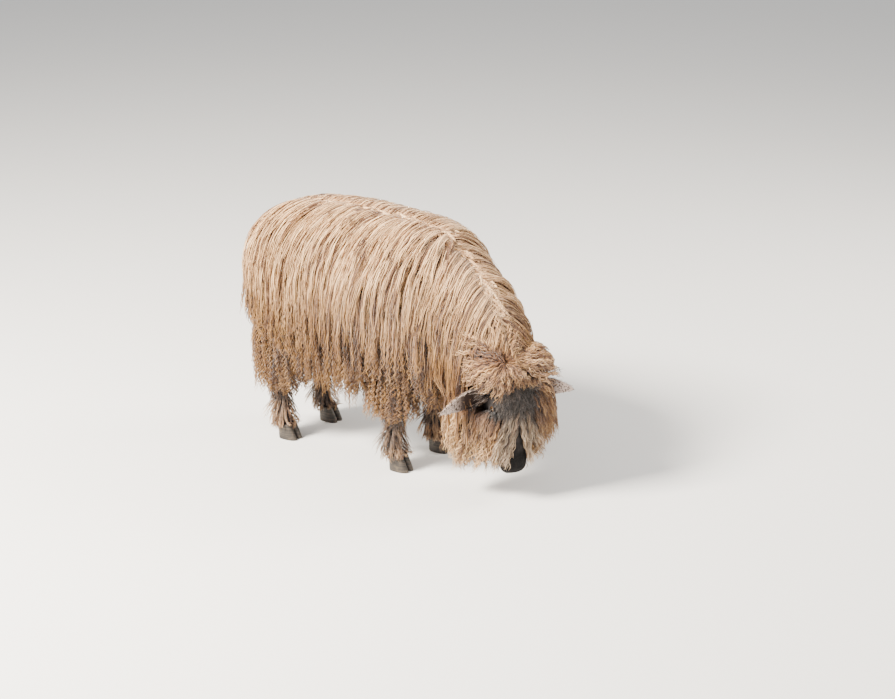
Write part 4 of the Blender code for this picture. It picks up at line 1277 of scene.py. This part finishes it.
def head_locks(cover, tree, skin_tree, gap):
    """Topknot, cheek wool, short dark hair on the face, pale strands down the nose, and a ruff."""
    ears, eyes = near_ears(), [eye_frame(side)[0] for side in (1, -1)]
    groups = {word: Locks() for word in ("topknot", "fringe", "cheek", "face", "nose", "ruff")}
    places = spread(cover, gap, lambda p, n: belongs_to_head(p))
    places += spread(cover, gap * 0.6, lambda p, n: thick_set(p))
    for p, n in places:
        a, b, c = on_face(p)
        to_eye = min((p - e).length for e in eyes)
        bare = a > (0.130 if abs(b) < 0.010 else 0.158 if abs(b) < 0.020 else 0.180)
        if bare or to_eye < 0.014 or b > 0.02 and c < -0.09 and RNG.random() < 0.5:
            continue
        near, out, _, _ = skin_tree.find_nearest(p - n * 0.01)
        kind = head_kind(a, b, c, to_eye)
        _, stand, weight, crimp, wave = HEAD_WOOL[kind]
        if kind in ("face", "nose") and a > 0.165:
            stand = 0.003
        length = min(head_length(kind, a, b), max((p.z - 0.055) * 1.02, 0.035))
        lie = head_lie(kind, p, n, a, b) + wobble(p * 2)
        path, facing = drape(tree, p, lie, length, stand * RNG.uniform(0.2, 1), weight,
                             RNG.uniform(0.001, 0.007))
        if hides_ears(path, ears):
            continue
        tone = some(0.58, 0.28)
        radius = 0.0046 * RNG.uniform(*WIDTHS_VARY)
        groups[WITH.get(kind, kind)].add(near - out * ROOT_DEPTH, path, facing, tone, radius, crimp, wave)
    return groups


def leg_locks(side, front):
    """Hair down a shank, longest over the hoof."""
    shank = loft("shank", leg_rings(side, front))
    tree = tree_of([shank])
    places = spread(shank, 0.0072, lambda p, n: 0.040 < p.z < 0.205 and abs(n.z) < 0.9)
    bpy.data.objects.remove(shank)
    hair = Locks()
    for p, n in places:
        length, stand = (0.056, 0.022) if p.z < 0.11 else (0.044, 0.012)
        length = min(length * RNG.uniform(0.75, 1.15), (p.z - 0.012) * 0.95)
        path, facing = drape(tree, p, n * 0.6 - UP, length, stand, 0.10, 0.003, 6)
        hair.add(p - n * 0.001, path, facing, some(0.5, 0.25), 0.0034, 0.0014, 0.026)
    return hair


def tail_locks():
    dock = loft("dock", tail_rings(0.006))
    tree = tree_of([dock])
    places = spread(dock, 0.0115, lambda p, n: p.x < -0.30)
    bpy.data.objects.remove(dock)
    wool = Locks()
    for p, n in places:
        length = 0.140 * RNG.uniform(0.85, 1.1)
        path, facing = drape(tree, p, n * 0.2 - UP + Vector((0, p.y * 6, 0)), length, 0.005, 0.20, 0.003)
        wool.add(p - n * 0.010, path, facing, some(0.6, 0.2), 0.0062, 0.0028, 0.034)
    return wool


def ear_hair(side):
    """Short hair on the back and rim of an ear, and longer wool at its root."""
    leaf = ear(side)
    tree = tree_of([leaf])
    start, line, _, opening = ear_frame(side, 0.0)
    places = spread(leaf, 0.0042, lambda p, n: (p - start).dot(line) > 0.004)
    bpy.data.objects.remove(leaf)
    hair = Locks()
    for p, n in places:
        share = (p - start).dot(line) / EAR_LENGTH
        if n.dot(opening) > 0.3 and share > 0.25:
            continue
        length = (0.018 if share < 0.5 else 0.011) * RNG.uniform(0.7, 1.2)
        path, facing = drape(tree, p, line + n * 0.3, length, 0.002, 0.02, 0.0008, 4)
        hair.add(p - n * 0.0005, path, facing, some(0.55, 0.25), 0.0016, 0.0002, 0.03)
    return hair


def in_pieces(name, strands, uv_part, shade):
    """The strands as one mesh, or as several where one would hold too many faces."""
    per = 6 * (strands[0].shape[1] - 2) + 4
    count = max(1, math.ceil(len(strands[0]) * per / MOST_FACES))
    for k in range(count):
        part = tuple(values[k::count] for values in strands)
        draw_mesh(f"{name}_{k + 1}" if count > 1 else name, part, uv_part, shade)


def make_stage():
    """A pale floor, a soft sky and three lamps: warm from the left of the camera, and two weak ones."""
    corners = [(FLOOR_HALF * a, FLOOR_HALF * b, 0) for a, b in ((-1, -1), (1, -1), (1, 1), (-1, 1))]
    data = bpy.data.meshes.new("floor")
    data.from_pydata(corners, [], [(0, 1, 2, 3)])
    n = Nodes("pale_floor", 0.9)
    n.shader.inputs["Base Color"].default_value = (0.72, 0.71, 0.69, 1)
    data.materials.append(n.material)
    put("floor", data)
    world = bpy.data.worlds.new("studio")
    world.use_nodes = True
    sky = world.node_tree.nodes["Background"].inputs
    sky["Color"].default_value = (0.95, 0.97, 1.0, 1)
    sky["Strength"].default_value = 0.75
    bpy.context.scene.world = world
    for name, spot, size, power, tint in LAMPS:
        light = bpy.data.lights.new(name, "AREA")
        light.size, light.energy, light.color = size, power, tint
        lamp = put(name, light)
        lamp.location = spot
        lamp.rotation_mode = "QUATERNION"
        lamp.rotation_quaternion = (LAMPS_FACE - Vector(spot)).to_track_quat("-Z", "Y")


def make_camera():
    level = Vector((math.sin(AZIMUTH), -math.cos(AZIMUTH), 0)) * math.cos(ELEVATION)
    back = level + UP * math.sin(ELEVATION)
    data = bpy.data.cameras.new("camera")
    data.lens, data.sensor_width, data.sensor_fit = LENS, 36.0, "HORIZONTAL"
    camera = put("camera", data)
    camera.location = LOOK_AT + back * DISTANCE - SHIFT
    camera.rotation_mode = "QUATERNION"
    camera.rotation_quaternion = (-back).to_track_quat("-Z", "Y")
    bpy.context.scene.camera = camera


# Colours from root to tip, high on the body and low on it, and by a strand's tone, which holds painted shade
# at each lock's edges. Every ramp darkens to its root as painted shade, where a lock's root lies under the
# locks above it
HIGH = ((0.0, (0.28, 0.13, 0.050)), (0.3, (0.86, 0.54, 0.28)), (0.6, (0.98, 0.66, 0.35)),
        (1.0, (0.98, 0.62, 0.30)))
# The low ramp is darker than the high one: partly golden, dirtier wool and partly painted shade low on the
# body
LOW = ((0.0, (0.03, 0.012, 0.003)), (0.3, (0.08, 0.034, 0.008)), (0.7, (0.23, 0.108, 0.022)),
       (1.0, (0.46, 0.228, 0.046)))
# The tone ramp: strands darken by their tones, partly random and partly painted shade between locks
TONE_AND_SHADE_RAMP = ((0.0, (0.17, 0.10, 0.055)), (0.4, (0.68, 0.59, 0.49)), (0.8, (1.0, 1.0, 1.0)))
# Painted shade by the whorl: its spots in the frame, the distances at which it is full and gone, and its
# reddish-brown tint
WHORL_SHADE = ([tuple(Vector(place) - SHIFT) for place in WHORL_SHADE_SPOTS], 0.016, 0.036, (0.17, 0.058, 0.004))
# The head's wools: colours from root to tip, the painted shade between strands and in the crimps' valleys,
# crimps to a lock, and what differs
# Each head ramp darkens to its root as painted shade, where the roots lie hidden under other locks
HEAD_SHADES = {
    "topknot_wool": (((0.0, (0.06, 0.02, 0.006)), (0.25, (0.26, 0.110, 0.032)), (0.6, (0.68, 0.38, 0.145)),
                      (1.0, (0.92, 0.60, 0.29))), (0.16, 0.065, 0.02), 7, {"whorl_shade": WHORL_SHADE, "valley_shade": 0.35}),
    "fringe_wool": (((0.0, (0.05, 0.018, 0.006)), (0.3, (0.14, 0.058, 0.018)), (0.7, (0.34, 0.175, 0.065)),
                     (1.0, (0.66, 0.41, 0.19))), (0.12, 0.048, 0.016), 7, {"whorl_shade": WHORL_SHADE, "valley_shade": 0.35}),
    "cheek_wool": (((0.0, (0.025, 0.010, 0.004)), (0.3, (0.09, 0.038, 0.012)), (0.7, (0.26, 0.128, 0.042)),
                    (1.0, (0.56, 0.33, 0.13))), (0.07, 0.028, 0.014), 5, {}),
    "face_hair": (((0.0, (0.010, 0.008, 0.008)), (0.5, (0.024, 0.018, 0.016)), (1.0, (0.075, 0.050, 0.036))),
                  (0.02, 0.015, 0.013), 3, {}),
    "nose_hair": (((0.0, (0.02, 0.017, 0.016)), (0.3, (0.07, 0.055, 0.048)), (0.6, (0.36, 0.26, 0.17)),
                   (1.0, (0.80, 0.60, 0.40))), (0.05, 0.042, 0.040), 4, {}),
    "ruff_wool": (((0.0, (0.16, 0.07, 0.022)), (0.3, (0.44, 0.24, 0.08)), (0.7, (0.78, 0.51, 0.23)),
                   (1.0, (0.92, 0.63, 0.32))), (0.22, 0.10, 0.045), 6, {"valley_shade": 0.4}),
}
# How each is drawn: strands to a lock, points to a strand, a strand's width, clump and contrast
HEAD_DRAWN = {
    "topknot_wool": (4, 20, 0.0023, 0.45, 0.34), "fringe_wool": (4, 16, 0.0021, 0.40, 0.34),
    "cheek_wool": (4, 16, 0.0019, 0.25, 0.25), "face_hair": (4, 7, 0.0016, 0.25, 0.30),
    "nose_hair": (5, 15, 0.0019, 0.25, 0.38), "ruff_wool": (3, 19, 0.0025, 0.25, 0.25),
}
LEG_HIGH = ((0.0, (0.02, 0.010, 0.006)), (0.6, (0.06, 0.032, 0.018)), (1.0, (0.18, 0.095, 0.045)))
LEG_LOW = ((0.0, (0.05, 0.028, 0.015)), (0.5, (0.30, 0.165, 0.080)), (1.0, (0.80, 0.50, 0.26)))
EAR_TINTS = ((0.0, (0.36, 0.26, 0.23)), (0.5, (0.60, 0.48, 0.42)), (1.0, (0.76, 0.66, 0.58)))

make_camera()
make_stage()

skin = make_skin()
skin_tree = tree_of([skin])
mark_skin(skin)
CREST = [neck_frame(k / 12) for k in range(13)]

# The fleece's wools; the third colour given is the painted shade in their streaks and crimp valleys
wool = wool_material("fleece_wool", (LOW, HIGH), (0.20, 0.09, 0.035), 9, WHORL_SHADE)
curled = wool_material("curled_wool", (LOW, HIGH), (0.10, 0.042, 0.014), 6, valley_shade=0.5)
pale = wool_material("parting_wool", (None, ((0.0, (0.80, 0.50, 0.26)), (1.0, (0.98, 0.66, 0.35)))),
                     (0.35, 0.18, 0.08), 9)

# Broad blades close to the skin, then the parting's, then the fleece itself in fine strands
inner = wool_cover(INNER_SHARE, 0.006)
under = body_locks(inner, tree_of([inner]), skin_tree, 0.024, 0.16, (0.001, 0.004), (0.002, 0.006), 0.8)
for word, locks in zip(("smooth", "curly"), under):
    blades = draw_locks(locks, 2, 8, 0.015, thick=0.3, uneven=0.2)
    in_pieces(f"wool_under_{word}", blades, "body", wool)
cover = wool_cover(FULL_SHARE, 0.005)
cover_tree = tree_of([cover])
blades = draw_locks(parting_locks(cover, cover_tree, skin_tree), 2, 6, 0.011, thick=0.3, uneven=0.2)
in_pieces("wool_parting", blades, "body", pale)
smooth, curly = body_locks(cover, cover_tree, skin_tree, BODY_GAP, 0.165, (0.001, 0.008), (0.001, 0.011))
strands = draw_locks(smooth, 4, 9, 0.0026, contrast=0.30, frizz=0.004)
in_pieces("wool_smooth", strands, "body", wool)
strands = draw_locks(curly, 3, 22, 0.0030, clump=0.1, uneven=0.25, frizz=0.004, rounded=0.004,
                     straight=0.3, contrast=0.22)
in_pieces("wool_curly", strands, "body", curled)

groups = head_locks(cover, cover_tree, skin_tree, HEAD_GAP)
for name, (ramp, dark, crimps, differs) in HEAD_SHADES.items():
    shade = wool_material(name, (None, ramp), dark, crimps, **differs)
    word = name.split("_")[0]
    many, points, width, clump, contrast = HEAD_DRAWN[name]
    strands = draw_locks(groups[word], many, points, width, clump, 0.004, contrast=contrast, straight=0.6)
    in_pieces(f"wool_{word}", strands, "body", shade)
for core in (inner, cover):
    bpy.data.objects.remove(core)

# Dark leg hair; its third colour is the painted shade in streaks and crimp valleys
dark_hair = wool_material("leg_hair", (LEG_LOW, LEG_HIGH), (0.03, 0.018, 0.012), 3, levels=(0.05, 0.12))
for k, (front, side) in enumerate(((True, 1), (True, -1), (False, 1), (False, -1))):
    where = f"{'front' if front else 'hind'}_{'left' if side > 0 else 'right'}"
    strands = draw_locks(leg_locks(side, front), 4, 7, 0.0016, clump=0.6, rounded=0.001)
    in_pieces(f"hair_leg_{where}", strands, f"leg_{k}", dark_hair)
in_pieces("wool_tail", draw_locks(tail_locks(), 4, 9, 0.0028), "tail_0", wool)
# Ear hair; its third colour is the painted shade in streaks and crimp valleys
ear_tint = wool_material("ear_hair", (None, EAR_TINTS), (0.16, 0.11, 0.10), 2)
for k, (side, word) in enumerate(((1, "left"), (-1, "right"))):
    strands = draw_locks(ear_hair(side), 2, 5, 0.0008, frizz=0.001, rounded=0.0003)
    in_pieces(f"hair_ear_{word}", strands, f"ear_{k}", ear_tint)

placed(skin, "lamb_skin", skin_material(), "hair", "torso", "neck", "head", "tail", "ear_left", "ear_right",
       "leg_front_left", "leg_front_right", "leg_hind_left", "leg_hind_right")
make_eyes(eye_material())
make_hooves(horn_material())
